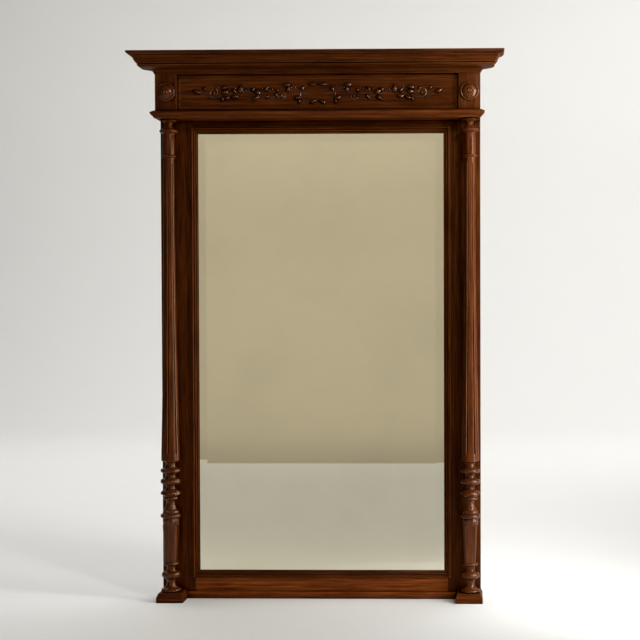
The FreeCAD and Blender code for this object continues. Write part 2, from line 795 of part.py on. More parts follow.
def make_ring():
    # A D-shaped wire loop that hangs below its straight side.
    half = RING_WIDTH / 2
    bow = half - RING_CORNER
    depth = RING_DROP - half
    low = BARREL_Z - depth
    spot = lambda x, z: Vector(HANGER_X + x, BARREL_Y, z)
    corner = RING_CORNER * (1 - math.sqrt(0.5))
    bottom = math.sqrt(0.5) * half
    edges = [
        Part.makeLine(spot(-bow, BARREL_Z), spot(bow, BARREL_Z)),
        Part.Arc(
            spot(bow, BARREL_Z), spot(half - corner, BARREL_Z - corner), spot(half, BARREL_Z - RING_CORNER)
        ).toShape(),
        Part.makeLine(spot(half, BARREL_Z - RING_CORNER), spot(half, low)),
        Part.Arc(spot(half, low), spot(bottom, low - bottom), spot(0, low - half)).toShape(),
        Part.Arc(spot(0, low - half), spot(-bottom, low - bottom), spot(-half, low)).toShape(),
        Part.makeLine(spot(-half, low), spot(-half, BARREL_Z - RING_CORNER)),
        Part.Arc(
            spot(-half, BARREL_Z - RING_CORNER), spot(corner - half, BARREL_Z - corner), spot(-bow, BARREL_Z)
        ).toShape(),
    ]
    path = Part.Wire(edges)
    wire_end = Part.Wire(Part.makeCircle(RING_WIRE, spot(-bow, BARREL_Z), X_AXIS))
    return path.makePipeShell([wire_end], True, True)


def make_strap_screws():
    screws = []
    for place in strap_screw_places():
        right = strap_screw(place, 0.0)
        screws.extend([right, mirrored(right)])
    return Part.makeCompound(screws)


def make_base_strip():
    end = PLINTH_INNER
    points = edge_points(STRIP_EDGE, 0.0, 0.0)
    face = section(points, lambda forward, level: Vector(-end, FACE - forward, level))
    return face.extrude(Vector(2 * end, 0, 0))


def make_plinth():
    inner = PLINTH_INNER
    outer = PLINTH_OUTER
    front = FACE - PLINTH_FRONT
    slab = block((inner, outer), (front, BACK), (0.0, PLINTH_SLAB))

    def rectangle(inset, level):
        corners = (
            (inner + inset, front + inset),
            (outer - inset, front + inset),
            (outer - inset, BACK),
            (inner + inset, BACK),
        )
        spots = [Vector(x, y, level) for x, y in corners]
        return Part.makePolygon(spots + spots[:1])

    top = Part.makeLoft([rectangle(0.0, PLINTH_SLAB), rectangle(PLINTH_CHAMFER, PLINTH_HEIGHT)], True, True)
    stile = block((OPENING_X, FRAME_X), (FACE, BACK), (0.0, PLINTH_HEIGHT))
    holes = [column_hole(PLINTH_HEIGHT, False)]
    for place in plinth_screw_places():
        holes.append(screw_hole(place, Y_AXIS.negative()))
    return slab.fuse(top).removeSplitter().cut(Part.makeCompound([stile] + holes))


def frieze_edges(points, front_back):
    # The same section along the front and at the ends, mitred at the front corners. The ends are solid.
    far = max(point[0] + max(point[2], 0.0) for point in points)
    z_span = (points[0][1], points[-1][1])
    front_face = section(points, lambda out, level: Vector(-FRAME_X - far, FRIEZE_FACE - out, level))
    front_run = front_face.extrude(Vector(2 * (FRAME_X + far), 0, 0))
    front_corners = [
        (-FRAME_X - far, FRIEZE_FACE - far),
        (FRAME_X + far, FRIEZE_FACE - far),
        (FRAME_X, FRIEZE_FACE),
        (FRAME_X, front_back),
        (-FRAME_X, front_back),
        (-FRAME_X, FRIEZE_FACE),
    ]
    solid = [(0.0, z_span[0], 0.0)] + points[1:-1] + [(0.0, z_span[1], 0.0)]
    end_face = section(solid, lambda out, level: Vector(FRAME_X + out, RETURN_BACK, level))
    end_run = end_face.extrude(Vector(0, FRIEZE_FACE - far - RETURN_BACK, 0))
    end_corners = [
        (FRAME_X, FRIEZE_FACE),
        (FRAME_X + far, FRIEZE_FACE - far),
        (FRAME_X + far, RETURN_BACK),
        (FRAME_X, RETURN_BACK),
    ]
    front = front_run.common(prism_plan(front_corners, z_span))
    end = end_run.common(prism_plan(end_corners, z_span))
    return front, end


def edged_board(edge, low, back):
    # A board behind the frieze face whose moulded edge runs along the front and round both front corners.
    points = edge_points(edge, 0.0, low)
    front, end = frieze_edges(points, FRIEZE_FACE)
    core = block((-FRAME_X, FRAME_X), (FRIEZE_FACE, back), (low, points[-1][1]))
    return core.multiFuse([front, end, mirrored(end)]).removeSplitter()


def make_architrave():
    holes = [column_hole(ARCHITRAVE_BOTTOM, True), screw_hole(architrave_screw_place(), Y_AXIS.negative())]
    holes += [mirrored(hole) for hole in holes]
    return edged_board(ARCHITRAVE_EDGE, ARCHITRAVE_BOTTOM, FACE).cut(Part.makeCompound(holes))


def make_frieze_panel():
    body = block(
        (-FRAME_X, FRAME_X), (PANEL_FACE, PANEL_FACE + FRIEZE_BOARD), (FRIEZE_BOTTOM, SOFFIT_BOTTOM)
    )
    field = block(FIELD_WIDTH, (PANEL_FACE, FIELD_FACE), FIELD_HEIGHT)
    return body.cut(field)


def make_frieze_block():
    body = block(
        (FRAME_X - BLOCK_WIDTH, FRAME_X), (FRIEZE_FACE, PANEL_FACE), (FRIEZE_BOTTOM, FRIEZE_TOP)
    )
    hole = Part.makeCylinder(
        ROUNDEL_SPIGOT + GLUE_FIT, ROUNDEL_SPIGOT_LENGTH + GLUE_FIT, roundel_place(), Y_AXIS
    )
    return body.cut(hole)


def roundel_place():
    middle = (FRIEZE_BOTTOM + FRIEZE_TOP) / 2
    return Vector(FRAME_X - BLOCK_WIDTH / 2, FRIEZE_FACE, middle)


def make_roundel():
    body = turned(ROUNDEL)
    body = body.fuse(
        Part.makeCylinder(ROUNDEL_SPIGOT, ROUNDEL_SPIGOT_LENGTH, Vector(0, 0, 0), Z_AXIS.negative())
    )
    body.rotate(Vector(0, 0, 0), X_AXIS, QUARTER_TURN)
    body.translate(roundel_place())
    return body


def make_end_board():
    front = PANEL_FACE + FRIEZE_BOARD
    return block((FRAME_X - END_BOARD, FRAME_X), (front, FACE), (FRIEZE_BOTTOM, SOFFIT_BOTTOM))


def make_bed():
    return frieze_edges(edge_points(BED_EDGE, -FRIEZE_RECESS, FRIEZE_TOP), PANEL_FACE)


def make_soffit():
    return edged_board(SOFFIT_EDGE, SOFFIT_BOTTOM, BACK)


def make_crown():
    return frieze_edges(edge_points(CROWN_EDGE, CROWN_BACK, CROWN_BOTTOM), FRIEZE_FACE)


def make_top_board():
    return edged_board(TOP_BOARD_EDGE, TOP_BOARD_BOTTOM, BACK)


def make_cornice_back():
    return block((-FRAME_X, FRAME_X), (BACK - CORNICE_BOARD, BACK), (CROWN_BOTTOM, TOP_BOARD_BOTTOM))


def make_cornice_end():
    back = BACK - CORNICE_BOARD
    return block((FRAME_X - CORNICE_BOARD, FRAME_X), (FRIEZE_FACE, back), (CROWN_BOTTOM, TOP_BOARD_BOTTOM))


def make_glue_blocks():
    blocks = []
    y = FRIEZE_FACE - CROWN_BACK
    pitch = 2 * FRAME_X / GLUE_BLOCK_COUNT
    for number in range(GLUE_BLOCK_COUNT):
        start = -FRAME_X + pitch * (number + 0.5) - GLUE_BLOCK_LENGTH / 2
        corners = [
            Vector(start, y, CROWN_BOTTOM),
            Vector(start, y + GLUE_BLOCK_LEG, CROWN_BOTTOM),
            Vector(start, y, CROWN_BOTTOM + GLUE_BLOCK_LEG),
        ]
        blocks.append(wedge_prism(corners, Vector(GLUE_BLOCK_LENGTH, 0, 0)))
    return Part.makeCompound(blocks)


def make_frame_screws():
    screws = []
    for place in plinth_screw_places() + [architrave_screw_place()]:
        right = screw(place, Y_AXIS.negative())
        screws.extend([right, mirrored(right)])
    return Part.makeCompound(screws)


def carved_arc(ridge_radius, across, up, radius, start, end):
    # A half-round ridge bent along part of a circle, its flat side on the field.
    ridge = Part.makeTorus(radius, ridge_radius, Vector(0, 0, 0), Z_AXIS, -180, 180, end - start)
    ridge.rotate(Vector(0, 0, 0), Z_AXIS, start)
    ridge.rotate(Vector(0, 0, 0), X_AXIS, QUARTER_TURN)
    ridge.translate(Vector(across, FIELD_FACE, FIELD_MIDDLE + up))
    return ridge


def carved_boss(across, up, radius):
    return Part.makeSphere(radius, Vector(across, FIELD_FACE, FIELD_MIDDLE + up))


def carved_leaf(across, up, angle, length, radius):
    # A rounded leaf that narrows from its root to its tip.
    turn = math.radians(angle)
    reach = Vector(math.cos(turn), 0, math.sin(turn))
    root = Vector(across, FIELD_FACE, FIELD_MIDDLE + up)
    blade = Part.makeCone(radius, radius * LEAF_TIP, length, root, reach)
    tip = Part.makeSphere(radius * LEAF_TIP, root + reach * length)
    return [blade, tip, Part.makeSphere(radius, root)]


def carved_stem():
    # The stem sways up and down about the middle of the field, one arc to a bay.
    half = STEM_BAY / 2
    radius = (half * half + STEM_SWAY * STEM_SWAY) / (2 * STEM_SWAY)
    spread = math.degrees(math.asin(half / radius))
    arcs = []
    for bay in range(STEM_BAYS):
        side = 1 if bay % 2 == 0 else -1
        across = STEM_START + STEM_BAY * (bay + 0.5)
        up = -side * (radius - STEM_SWAY)
        first = side * QUARTER_TURN - spread
        last = side * QUARTER_TURN + spread
        arcs.append(carved_arc(STEM_RADIUS, across, up, radius, first, last))
    return arcs


def make_carving():
    front = block((0.0, FIELD_X), (FIELD_FACE - ENTABLATURE_DEPTH, FIELD_FACE), FIELD_HEIGHT)
    pieces = carved_stem()
    for scroll in SCROLLS:
        pieces.append(carved_arc(SCROLL_RIDGE, *scroll))
    for berry in BERRIES:
        pieces.append(carved_boss(*berry))
    for leaf in LEAVES:
        pieces.extend(carved_leaf(*leaf))
    return pieces[0].multiFuse(pieces[1:]).common(front).removeSplitter().Solids


def save(name, shape):
    shape.exportStep("parts/" + name + ".step")


def save_pair(name, right):
    save("right_" + name, right)
    save("left_" + name, mirrored(right))


def main():
    os.makedirs("parts", exist_ok=True)
    save_pair("stile", make_stile())
    save("top_rail", make_top_rail())
    save("bottom_rail", make_bottom_rail())
    save("joint_pegs", make_pegs())
    save("base_strip", make_base_strip())
    save_pair("sight_moulding", make_upright_moulding())
    save("top_sight_moulding", make_level_moulding(SIGHT_TOP, 1))
    save("bottom_sight_moulding", make_level_moulding(SIGHT_BOTTOM, -1))
    save("mirror_glass", make_glass())
    save("glass_setting_blocks", make_setting_blocks())
    save("glass_wedges", make_wedges())
    for number in range(BOARD_COUNT):
        save("back_board_%d" % (number + 1), make_board(number))
    pivots = []
    for number, level in enumerate(button_levels()):
        button = make_button(level)
        save("right_turn_button_%d" % (number + 1), button)
        save("left_turn_button_%d" % (number + 1), mirrored(button))
        pivot = make_pivot_screw(level)
        pivots.extend([pivot, mirrored(pivot)])
    save("turn_button_screws", Part.makeCompound(pivots))
    save_pair("hanger_strap", make_strap())
    save_pair("hanger_ring", make_ring())
    save("hanger_screws", make_strap_screws())
    save_pair("plinth", make_plinth())
    baluster = make_baluster()
    shaft = make_shaft()
    capital = make_capital()
    for name, side, turn in (("left", -1, LEFT_SHAFT_TURN), ("right", 1, RIGHT_SHAFT_TURN)):
        save(name + "_baluster", set_in_row(baluster, side, PLINTH_HEIGHT, 0.0))
        save(name + "_shaft", set_in_row(shaft, side, SHAFT_BOTTOM, turn))
        save(name + "_capital", set_in_row(capital, side, CAPITAL_BOTTOM, 0.0))
    save("architrave_shelf", make_architrave())
    save("frieze_panel", make_frieze_panel())
    save_pair("frieze_block", make_frieze_block())
    save_pair("roundel", make_roundel())
    save_pair("frieze_end_board", make_end_board())
    right_carving = make_carving()
    left_carving = [mirrored(solid) for solid in right_carving]
    save("frieze_carving", Part.makeCompound(right_carving + left_carving))
    bed_front, bed_end = make_bed()
    save("front_bed_moulding", bed_front)
    save_pair("bed_moulding", bed_end)
    save("soffit_board", make_soffit())
    crown_front, crown_end = make_crown()
    save("front_crown_moulding", crown_front)
    save_pair("crown_moulding", crown_end)
    save("cornice_top_board", make_top_board())
    save("cornice_back_board", make_cornice_back())
    save_pair("cornice_end_board", make_cornice_end())
    save("cornice_glue_blocks", make_glue_blocks())
    save("frame_screws", make_frame_screws())


main()
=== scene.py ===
"""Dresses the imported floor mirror: oak frame, columns, carved frieze, bevelled glass and back fittings."""

import json
import math

import bmesh
import bpy
from mathutils import Matrix, Vector

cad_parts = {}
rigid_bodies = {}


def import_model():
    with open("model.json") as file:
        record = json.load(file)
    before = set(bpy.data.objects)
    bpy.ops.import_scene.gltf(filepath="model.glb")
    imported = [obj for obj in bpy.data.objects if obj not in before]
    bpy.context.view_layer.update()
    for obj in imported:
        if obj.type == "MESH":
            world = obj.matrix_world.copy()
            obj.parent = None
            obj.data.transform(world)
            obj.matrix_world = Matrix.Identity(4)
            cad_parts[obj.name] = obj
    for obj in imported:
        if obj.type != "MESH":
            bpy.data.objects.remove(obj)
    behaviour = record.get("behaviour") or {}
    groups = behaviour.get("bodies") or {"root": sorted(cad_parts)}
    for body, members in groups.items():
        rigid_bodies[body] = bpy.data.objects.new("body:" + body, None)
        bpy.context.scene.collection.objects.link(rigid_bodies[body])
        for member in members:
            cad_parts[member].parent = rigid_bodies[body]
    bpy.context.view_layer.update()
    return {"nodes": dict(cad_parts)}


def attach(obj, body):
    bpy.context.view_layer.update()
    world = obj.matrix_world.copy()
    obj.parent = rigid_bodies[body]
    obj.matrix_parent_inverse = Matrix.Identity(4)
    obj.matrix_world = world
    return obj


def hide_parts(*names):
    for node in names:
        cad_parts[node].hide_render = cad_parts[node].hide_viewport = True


bl_info = {
    "name": "Floor Mirror",
    "version": (1, 0, 0),
    "blender": (4, 5, 0),
    "location": "View3D > Sidebar > Floor Mirror",
    "description": "Builds the looks of an oak floor mirror on its packed frame",
    "category": "Object",
}

for leftover in list(bpy.data.objects):
    bpy.data.objects.remove(leftover)
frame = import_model()
MM = 0.001
X, Y, Z = range(3)


def places(node, axis):
    """Where the corners of a node of the frame lie along an axis, in metres."""
    return [vert.co[axis] for vert in frame["nodes"][node].data.vertices]


def middle(values):
    return (min(values) + max(values)) / 2


# Turned runs from the foot up, in millimetres: rise, radius at the top of the run, outward swell of the run
BALUSTER_FOOT = (
    (0.0, 29.5, 0.0),
    (9.0, 29.5, 2.0),
    (19.0, 14.0, -4.5),
    (15.0, 20.0, -3.0),
    (20.0, 20.0, 9.4),
    (11.0, 13.8, -2.5),
    (9.5, 19.5, -2.5),
    (9.0, 19.5, 4.4),
)
BALUSTER_HEAD = (
    (0.0, 23.5, 0.0),
    (21.5, 23.5, 0.8),
    (0.0, 26.5, 0.0),
    (13.0, 26.5, 5.5),
    (0.0, 24.5, 0.0),
    (9.0, 24.5, 0.8),
    (14.0, 16.5, -2.0),
    (10.0, 13.5, -0.8),
    (6.0, 13.5, 0.0),
    (5.0, 19.0, -1.0),
    (9.0, 21.0, 3.5),
    (9.0, 31.6, -1.5),
    (13.0, 20.0, 3.0),
    (10.0, 14.4, -2.0),
    (8.0, 23.5, -2.5),
    (17.0, 23.5, 8.0),
    (10.0, 15.6, -2.5),
    (9.0, 25.0, -2.5),
    (13.0, 25.0, 6.3),
    (13.0, 15.0, -3.5),
    (9.0, 22.0, -2.5),
    (3.0, 25.5, 0.0),
)
CAPITAL = (
    (0.0, 17.5, 0.0),
    (3.0, 18.0, 0.0),
    (0.0, 21.0, 0.0),
    (7.0, 21.0, 3.0),
    (0.0, 18.0, 0.0),
    (62.0, 18.0, 0.6),
    (9.0, 24.0, -2.5),
    (10.0, 24.5, 4.0),
    (17.0, 11.5, -4.5),
    (8.0, 22.0, -3.0),
    (0.0, 24.5, 0.0),
    (6.0, 24.5, 1.5),
)
ROUNDEL = (
    (0.0, 28.5, 0.0),
    (4.0, 28.5, 1.0),
    (1.5, 25.0, 0.8),
    (-2.0, 23.5, 0.0),
    (8.0, 10.0, 1.2),
    (-2.2, 8.4, 0.0),
    (3.2, 3.4, 1.4),
    (-1.2, 1.8, 0.0),
    (0.0, 0.0, 0.0),
)
# Vases, in millimetres: height, half width and chamfer of the square section at foot and head, corner arris
VASE_HEIGHT = 118.0
VASE_FOOT = (17.6, 4.2)
VASE_HEAD = (22.4, 5.6)
VASE_ARRIS = 0.7
# Carved collars over the vases, in millimetres: number of leaves, level and radius of their roots, leaf sizes
COLLAR_LEAVES = 10
COLLAR_LEVEL = 20.5
COLLAR_RADIUS = 23.2
COLLAR_LEAF_LENGTH = 20.0
COLLAR_LEAF_BREADTH = 16.0
COLLAR_LEAF_RISE = 2.6
# Shafts, in millimetres: height, radii, plain rim below the flutes, plain neck above them
SHAFT_HEIGHT = 942.0
SHAFT_FOOT = 29.0
SHAFT_HEAD = 17.0
SHAFT_RIM = 20.0
SHAFT_NECK = 13.0
# How far the foot of a shaft is drawn in, in millimetres, and the levels along the flutes
SHAFT_FOOT_EASE, SHAFT_LEVELS = 0.3, 60
# Flutes: number, half angle in degrees, facets from one to the next, length of a rounded end in millimetres
# and the levels in it as shares
FLUTE_COUNT = 7
FLUTE_HALF_ANGLE = 6.0
FLUTE_STEPS = 30
FLUTE_END, FLUTE_END_SHARES = 6.0, (0.0, 0.12, 0.3, 0.6, 1.0)
# Turns of the left and the right shaft about their axes, in degrees
SHAFT_TURNS = {-1: 0.0, 1: -19.0}
# Places that the frame gives, in metres: axis of the right column, levels in it, face of the frieze blocks,
# level of the roundels on them, face of the sunk field
COLUMN_X = middle(places("right_capital", X))
COLUMN_Y = middle(places("right_capital", Y))
PLINTH_TOP = max(places("right_plinth", Z))
SHAFT_BOTTOM = max(places("right_baluster", Z))
CAPITAL_BOTTOM = min(places("right_capital", Z))
BLOCK_FACE = min(places("right_frieze_block", Y))
ROUNDEL_LEVEL = middle(places("right_frieze_block", Z))
FIELD_FACE = max(places("frieze_carving", Y))
# Level of the middle of the sunk field, in metres
FIELD_MIDDLE = 1.581
# Softened edges, in metres: sight mouldings, frieze boards, cornice mouldings, cornice boards, deal, brass
SIGHT_ARRIS = 0.0003
FRIEZE_ARRIS = 0.0006
MOULDING_ARRIS = 0.0010
CORNICE_ARRIS = 0.0014
DEAL_ARRIS, BRASS_ARRIS = 0.0016, 0.0005
# Edges that are softened: smallest angle in degrees, shortest length in metres, facets
SHARP_ANGLE = 32.0
SHORTEST_EDGE = 0.012
ARRIS_FACETS = 2
# Gaps that are closed, in metres: within a made shape, within a shape taken from the frame
MADE_GAP, FRAME_GAP = 1e-7, 1e-6
# Largest angles in degrees: between faces taken as flat, between smooth faces of boards, shafts and carving
FLAT_ANGLE = 0.6
BOARD_CREASE = 26.0
SHAFT_CREASE = 30.0
CARVING_CREASE = 50.0
# Curved runs: steps to a radian of the half angle, on turned pieces and on the ground, and the fewest steps
TURNED_FINENESS = 12.0
GROUND_FINENESS = 14.0
FEWEST_STEPS = 3
# Runs shorter than this are left out
SHORTEST_RUN = 1e-9
QUARTER_TURN = 90.0
SIDES = ((-1, "left"), (1, "right"))
BACK_BOARDS, BUTTONS_TO_A_SIDE = 5, 3


class FloorMirrorSizes(bpy.types.PropertyGroup):
    """Sizes of the finish that can be changed without touching the frame"""

    arris: bpy.props.FloatProperty(
        name="Arris", description="Width of the softened edges of boards", default=0.0009, unit="LENGTH"
    )
    turning_steps: bpy.props.IntProperty(
        name="Turning steps", description="Facets round a turned piece", default=72, min=24
    )
    flute_depth: bpy.props.FloatProperty(
        name="Flute depth", description="Depth of a flute as a share of the shaft radius", default=0.13
    )
    stem_radius: bpy.props.FloatProperty(
        name="Stem radius", description="Radius of the carved stem", default=0.0026, unit="LENGTH"
    )
    leaf_relief: bpy.props.FloatProperty(
        name="Leaf relief",
        description="Height of a carved leaf over the field",
        default=0.0095,
        unit="LENGTH",
    )


def colour(label, text, value):
    """A colour of the panel, opaque."""
    return bpy.props.FloatVectorProperty(
        name=label, description=text, subtype="COLOR", size=4, min=0.0, max=1.0, default=(*value, 1.0)
    )


class FloorMirrorColours(bpy.types.PropertyGroup):
    """Colours of the finishes"""

    oak_dark: colour("Oak, dark", "Pores and late wood of the stained oak", (0.020, 0.0046, 0.0010))
    oak_mid: colour("Oak, middle", "Body colour of the stained oak", (0.088, 0.0205, 0.0042))
    oak_light: colour("Oak, light", "Early wood of the stained oak", (0.175, 0.0480, 0.0095))
    oak_worn: colour("Oak, worn", "Rubbed edges of the stained oak", (0.260, 0.1000, 0.0320))
    oak_sheen: colour("Oak, sheen", "Tint of the wax on the stained oak", (1.000, 0.800, 0.640))
    deal_dark: colour("Deal, dark", "Late wood of the aged deal", (0.120, 0.0600, 0.0240))
    deal_light: colour("Deal, light", "Early wood of the aged deal", (0.290, 0.1750, 0.0820))
    glass_tint: colour("Glass tint", "Tint of the silvered glass", (0.880, 0.840, 0.680))
    brass: colour("Brass", "Aged brass", (0.420, 0.2700, 0.0900))
    steel: colour("Steel", "Dull steel", (0.230, 0.2200, 0.2100))
    rust: colour("Rust", "Rust and tarnish", (0.080, 0.0350, 0.0150))
    floor: colour("Floor", "Pale studio floor", (0.800, 0.790, 0.765))
    sweep: colour("Sweep", "Paper sweep behind the camera", (0.480, 0.430, 0.340))


def sizes():
    return bpy.context.scene.floor_mirror_sizes


def colours():
    return bpy.context.scene.floor_mirror_colours


# Finishes

EVEN = (1.0, 1.0, 1.0)
# Sockets of the node that mixes colours
MIX_SHARE = 0
MIX_FIRST = 6
MIX_SECOND = 7
MIX_RESULT = 2
# Stops of position and level: rubbed edges to flat faces, deep hollows to open faces, faces seen square on to
# faces that turn away
RUBBED_STOPS = ((0.86, 1.0), (0.995, 0.0))
HOLLOW_STOPS = ((0.30, 0.15), (0.88, 1.0))
FACING_STOPS = ((0.50, 1.0), (0.88, 0.10))
FACING_BLEND = 0.5
EDGE_SAMPLES = 6
HOLLOW_SAMPLES = 8


class Finish:
    """A node material while it is being put together."""

    def __init__(self, name):
        self.material = bpy.data.materials.new(name)
        self.material.use_nodes = True
        self.tree = self.material.node_tree
        self.shader = self.tree.nodes["Principled BSDF"]

    def add(self, kind, feeds=None, **settings):
        node = self.tree.nodes.new(kind)
        for name, value in settings.items():
            setattr(node, name, value)
        for name, value in (feeds or {}).items():
            self.feed(node.inputs[name], value)
        return node

    def feed(self, socket, value):
        if isinstance(value, bpy.types.NodeSocket):
            self.tree.links.new(value, socket)
        else:
            socket.default_value = value

    def shade(self, **feeds):
        for name, value in feeds.items():
            self.feed(self.shader.inputs[name.replace("_", " ")], value)

    def stretched(self, scale, shift=(0.0, 0.0, 0.0)):
        place = self.add("ShaderNodeTexCoord").outputs["Object"]
        feeds = {"Vector": place, "Scale": scale, "Location": shift}
        return self.add("ShaderNodeMapping", feeds).outputs["Vector"]

    def noise(self, place, scale, detail=4.0, roughness=0.55, distortion=0.0):
        feeds = {
            "Vector": place,
            "Scale": scale,
            "Detail": detail,
            "Roughness": roughness,
            "Distortion": distortion,
        }
        return self.add("ShaderNodeTexNoise", feeds).outputs["Fac"]

    def ramp(self, value, stops):
        node = self.add("ShaderNodeValToRGB", {"Fac": value})
        points = node.color_ramp.elements
        while len(points) < len(stops):
            points.new(0.5)
        for point, (position, shade) in zip(points, stops):
            point.position = position
            point.color = shade if len(shade) == 4 else (*shade, 1.0)
        return node.outputs["Color"]

    def grey_ramp(self, value, stops):
        return self.ramp(value, [(position, (level,) * 3) for position, level in stops])

    def mix(self, share, first, second, blend="MIX"):
        node = self.add("ShaderNodeMix", data_type="RGBA", blend_type=blend)
        self.feed(node.inputs[MIX_SHARE], share)
        self.feed(node.inputs[MIX_FIRST], first)
        self.feed(node.inputs[MIX_SECOND], second)
        return node.outputs[MIX_RESULT]

    def darken(self, body, shade, share=1.0):
        """A colour times a shade."""
        return self.mix(share, body, shade, "MULTIPLY")

    def between(self, value, low, high):
        feeds = {"Value": value, "To Min": low, "To Max": high}
        return self.add("ShaderNodeMapRange", feeds).outputs["Result"]

    def bump(self, height, strength, depth):
        feeds = {"Height": height, "Strength": strength, "Distance": depth}
        return self.add("ShaderNodeBump", feeds).outputs["Normal"]

    def rubbed(self, reach):
        """How far a point lies on a convex edge, from the rounded normal."""
        rounded = self.add("ShaderNodeBevel", {"Radius": reach}, samples=EDGE_SAMPLES).outputs["Normal"]
        flat = self.add("ShaderNodeNewGeometry").outputs["Normal"]
        along = self.add("ShaderNodeVectorMath", {0: rounded, 1: flat}, operation="DOT_PRODUCT")
        return self.grey_ramp(along.outputs["Value"], RUBBED_STOPS)

    def hollow_dirt_and_shade(self, reach):
        """Darker where nearby faces close a point in: painted shade in hollows and creases, standing also for
        dirt and old wax gathered there.
        """
        shade = self.add("ShaderNodeAmbientOcclusion", {"Distance": reach}, samples=HOLLOW_SAMPLES)
        return self.grey_ramp(shade.outputs["AO"], HOLLOW_STOPS)

    def facing(self):
        """Full where a surface is seen square on, low where it turns away, for dull outlines."""
        turned = self.add("ShaderNodeLayerWeight", {"Blend": FACING_BLEND}).outputs["Facing"]
        return self.grey_ramp(turned, FACING_STOPS)


# Stretch of the grain along one axis, and depth of the grain in metres
GRAIN = {"x": (0.055, 1.0, 1.0), "y": (1.0, 0.055, 1.0), "z": (1.0, 1.0, 0.055)}
GRAIN_DEPTH = 0.0006
# Stops of the oak: places of its three shades, then position and level of pores, patches and wear
FIGURE_PLACES = (0.24, 0.50, 0.82)
PORE_STOPS = ((0.36, 0.45), (0.54, 1.0))
PATCH_STOPS = ((0.3, 0.72), (0.7, 1.12))
WEAR_STOPS = ((0.35, 0.15), (0.7, 0.6))
# Strength of pores, of the darkening in hollows (dirt and painted shade) and of the painted shade in creases,
# and reach of the creases in metres
PORE_SHARE = 0.7
HOLLOW_SHARE = 0.9
CREASE_SHARE = 0.85
CREASE_REACH = 0.007
# Surfaces of the oak: roughness range, grain bump, specular level, coat weight, coat roughness,
# reach of rubbed edges, reach of the darkening in hollows (dirt and painted shade)
OAK_SURFACES = {
    "boards": ((0.30, 0.46), 0.16, 0.05, 0.015, 0.16, 0.0035, 0.022),
    "waxed": ((0.20, 0.30), 0.03, 0.095, 0.03, 0.10, 0.0035, 0.018),
    "polished": ((0.18, 0.30), 0.05, 0.22, 0.16, 0.08, 0.0035, 0.018),
    "carved": ((0.16, 0.24), 0.03, 0.34, 0.26, 0.08, 0.0008, 0.014),
}
# Tones of the oak: plain, painted shade on boards, deeper painted shade on carving, painted floor light on
# low boards
OAK_TONES = {"even": 0.86, "dark": 0.66, "deep": 0.44, "rubbed": 1.85}


def stained_oak(grain, surface="boards", tone="even"):
    """Dark stained oak with its grain along one axis."""
    name = "_".join(("oak", grain, surface, tone))
    if name in bpy.data.materials:
        return bpy.data.materials[name]
    shades = colours()
    finish = Finish(name)
    along = GRAIN[grain]
    gloss, grain_bump, specular, coat, coat_roughness, edge_reach, hollow_reach = OAK_SURFACES[surface]
    finer = tuple(share * share for share in along)
    figure = finish.noise(finish.stretched(along), scale=150.0, detail=5.0, roughness=0.6, distortion=0.35)
    streak = finish.noise(finish.stretched(finer), scale=620.0, detail=3.0, roughness=0.6)
    cloud = finish.noise(finish.stretched(EVEN), scale=4.0, detail=3.0, roughness=0.5)
    body = finish.ramp(figure, list(zip(FIGURE_PLACES, (shades.oak_dark, shades.oak_mid, shades.oak_light))))
    body = finish.darken(body, finish.grey_ramp(streak, PORE_STOPS), PORE_SHARE)
    patches = [(position, level * OAK_TONES[tone]) for position, level in PATCH_STOPS]
    body = finish.darken(body, finish.grey_ramp(cloud, patches))
    edge = finish.darken(finish.rubbed(edge_reach), finish.grey_ramp(cloud, WEAR_STOPS))
    body = finish.mix(edge, body, tuple(shades.oak_worn))
    # Painted shade: darker in hollows, also standing for dirt and old wax, and in creases under steps, where
    # shadow falls
    hollows = finish.hollow_dirt_and_shade(hollow_reach)
    body = finish.darken(body, hollows, HOLLOW_SHARE)
    body = finish.darken(body, finish.hollow_dirt_and_shade(CREASE_REACH), CREASE_SHARE)
    shine = finish.darken(hollows, finish.facing())
    finish.shade(
        Base_Color=body,
        Roughness=finish.between(figure, *gloss),
        Normal=finish.bump(streak, grain_bump, GRAIN_DEPTH),
        Specular_IOR_Level=finish.between(shine, 0.0, specular),
        Specular_Tint=tuple(shades.oak_sheen),
        Coat_Weight=finish.between(shine, 0.0, coat),
        Coat_Roughness=coat_roughness,
    )
    return finish.material


# Tones of the deal, by the tree that it was cut from
DEAL_TONES = (1.0, 0.80, 1.12, 0.88, 1.05, 0.76)
# Stretch of figure and streaks along X, and the shift of the grain from one tree to the next
DEAL_FIGURE = (0.04, 1.0, 1.0)
DEAL_STREAK = (0.01, 1.0, 1.0)
DEAL_SHIFT = (3.7, 1.9, 5.3)
# Stops of the deal: places of its two shades, then position and level of streaks and stains
DEAL_PLACES = (0.34, 0.64)
STREAK_STOPS = ((0.35, 0.5), (0.6, 1.0))
STAIN_STOPS = ((0.35, 0.70), (0.65, 1.05))
# Strength of the streaks, reach of dark hollows in metres, roughness range, grain bump
STREAK_SHARE = 0.5
DEAL_HOLLOW_REACH = 0.02
DEAL_ROUGHNESS = (0.62, 0.85)
DEAL_BUMP = 0.3


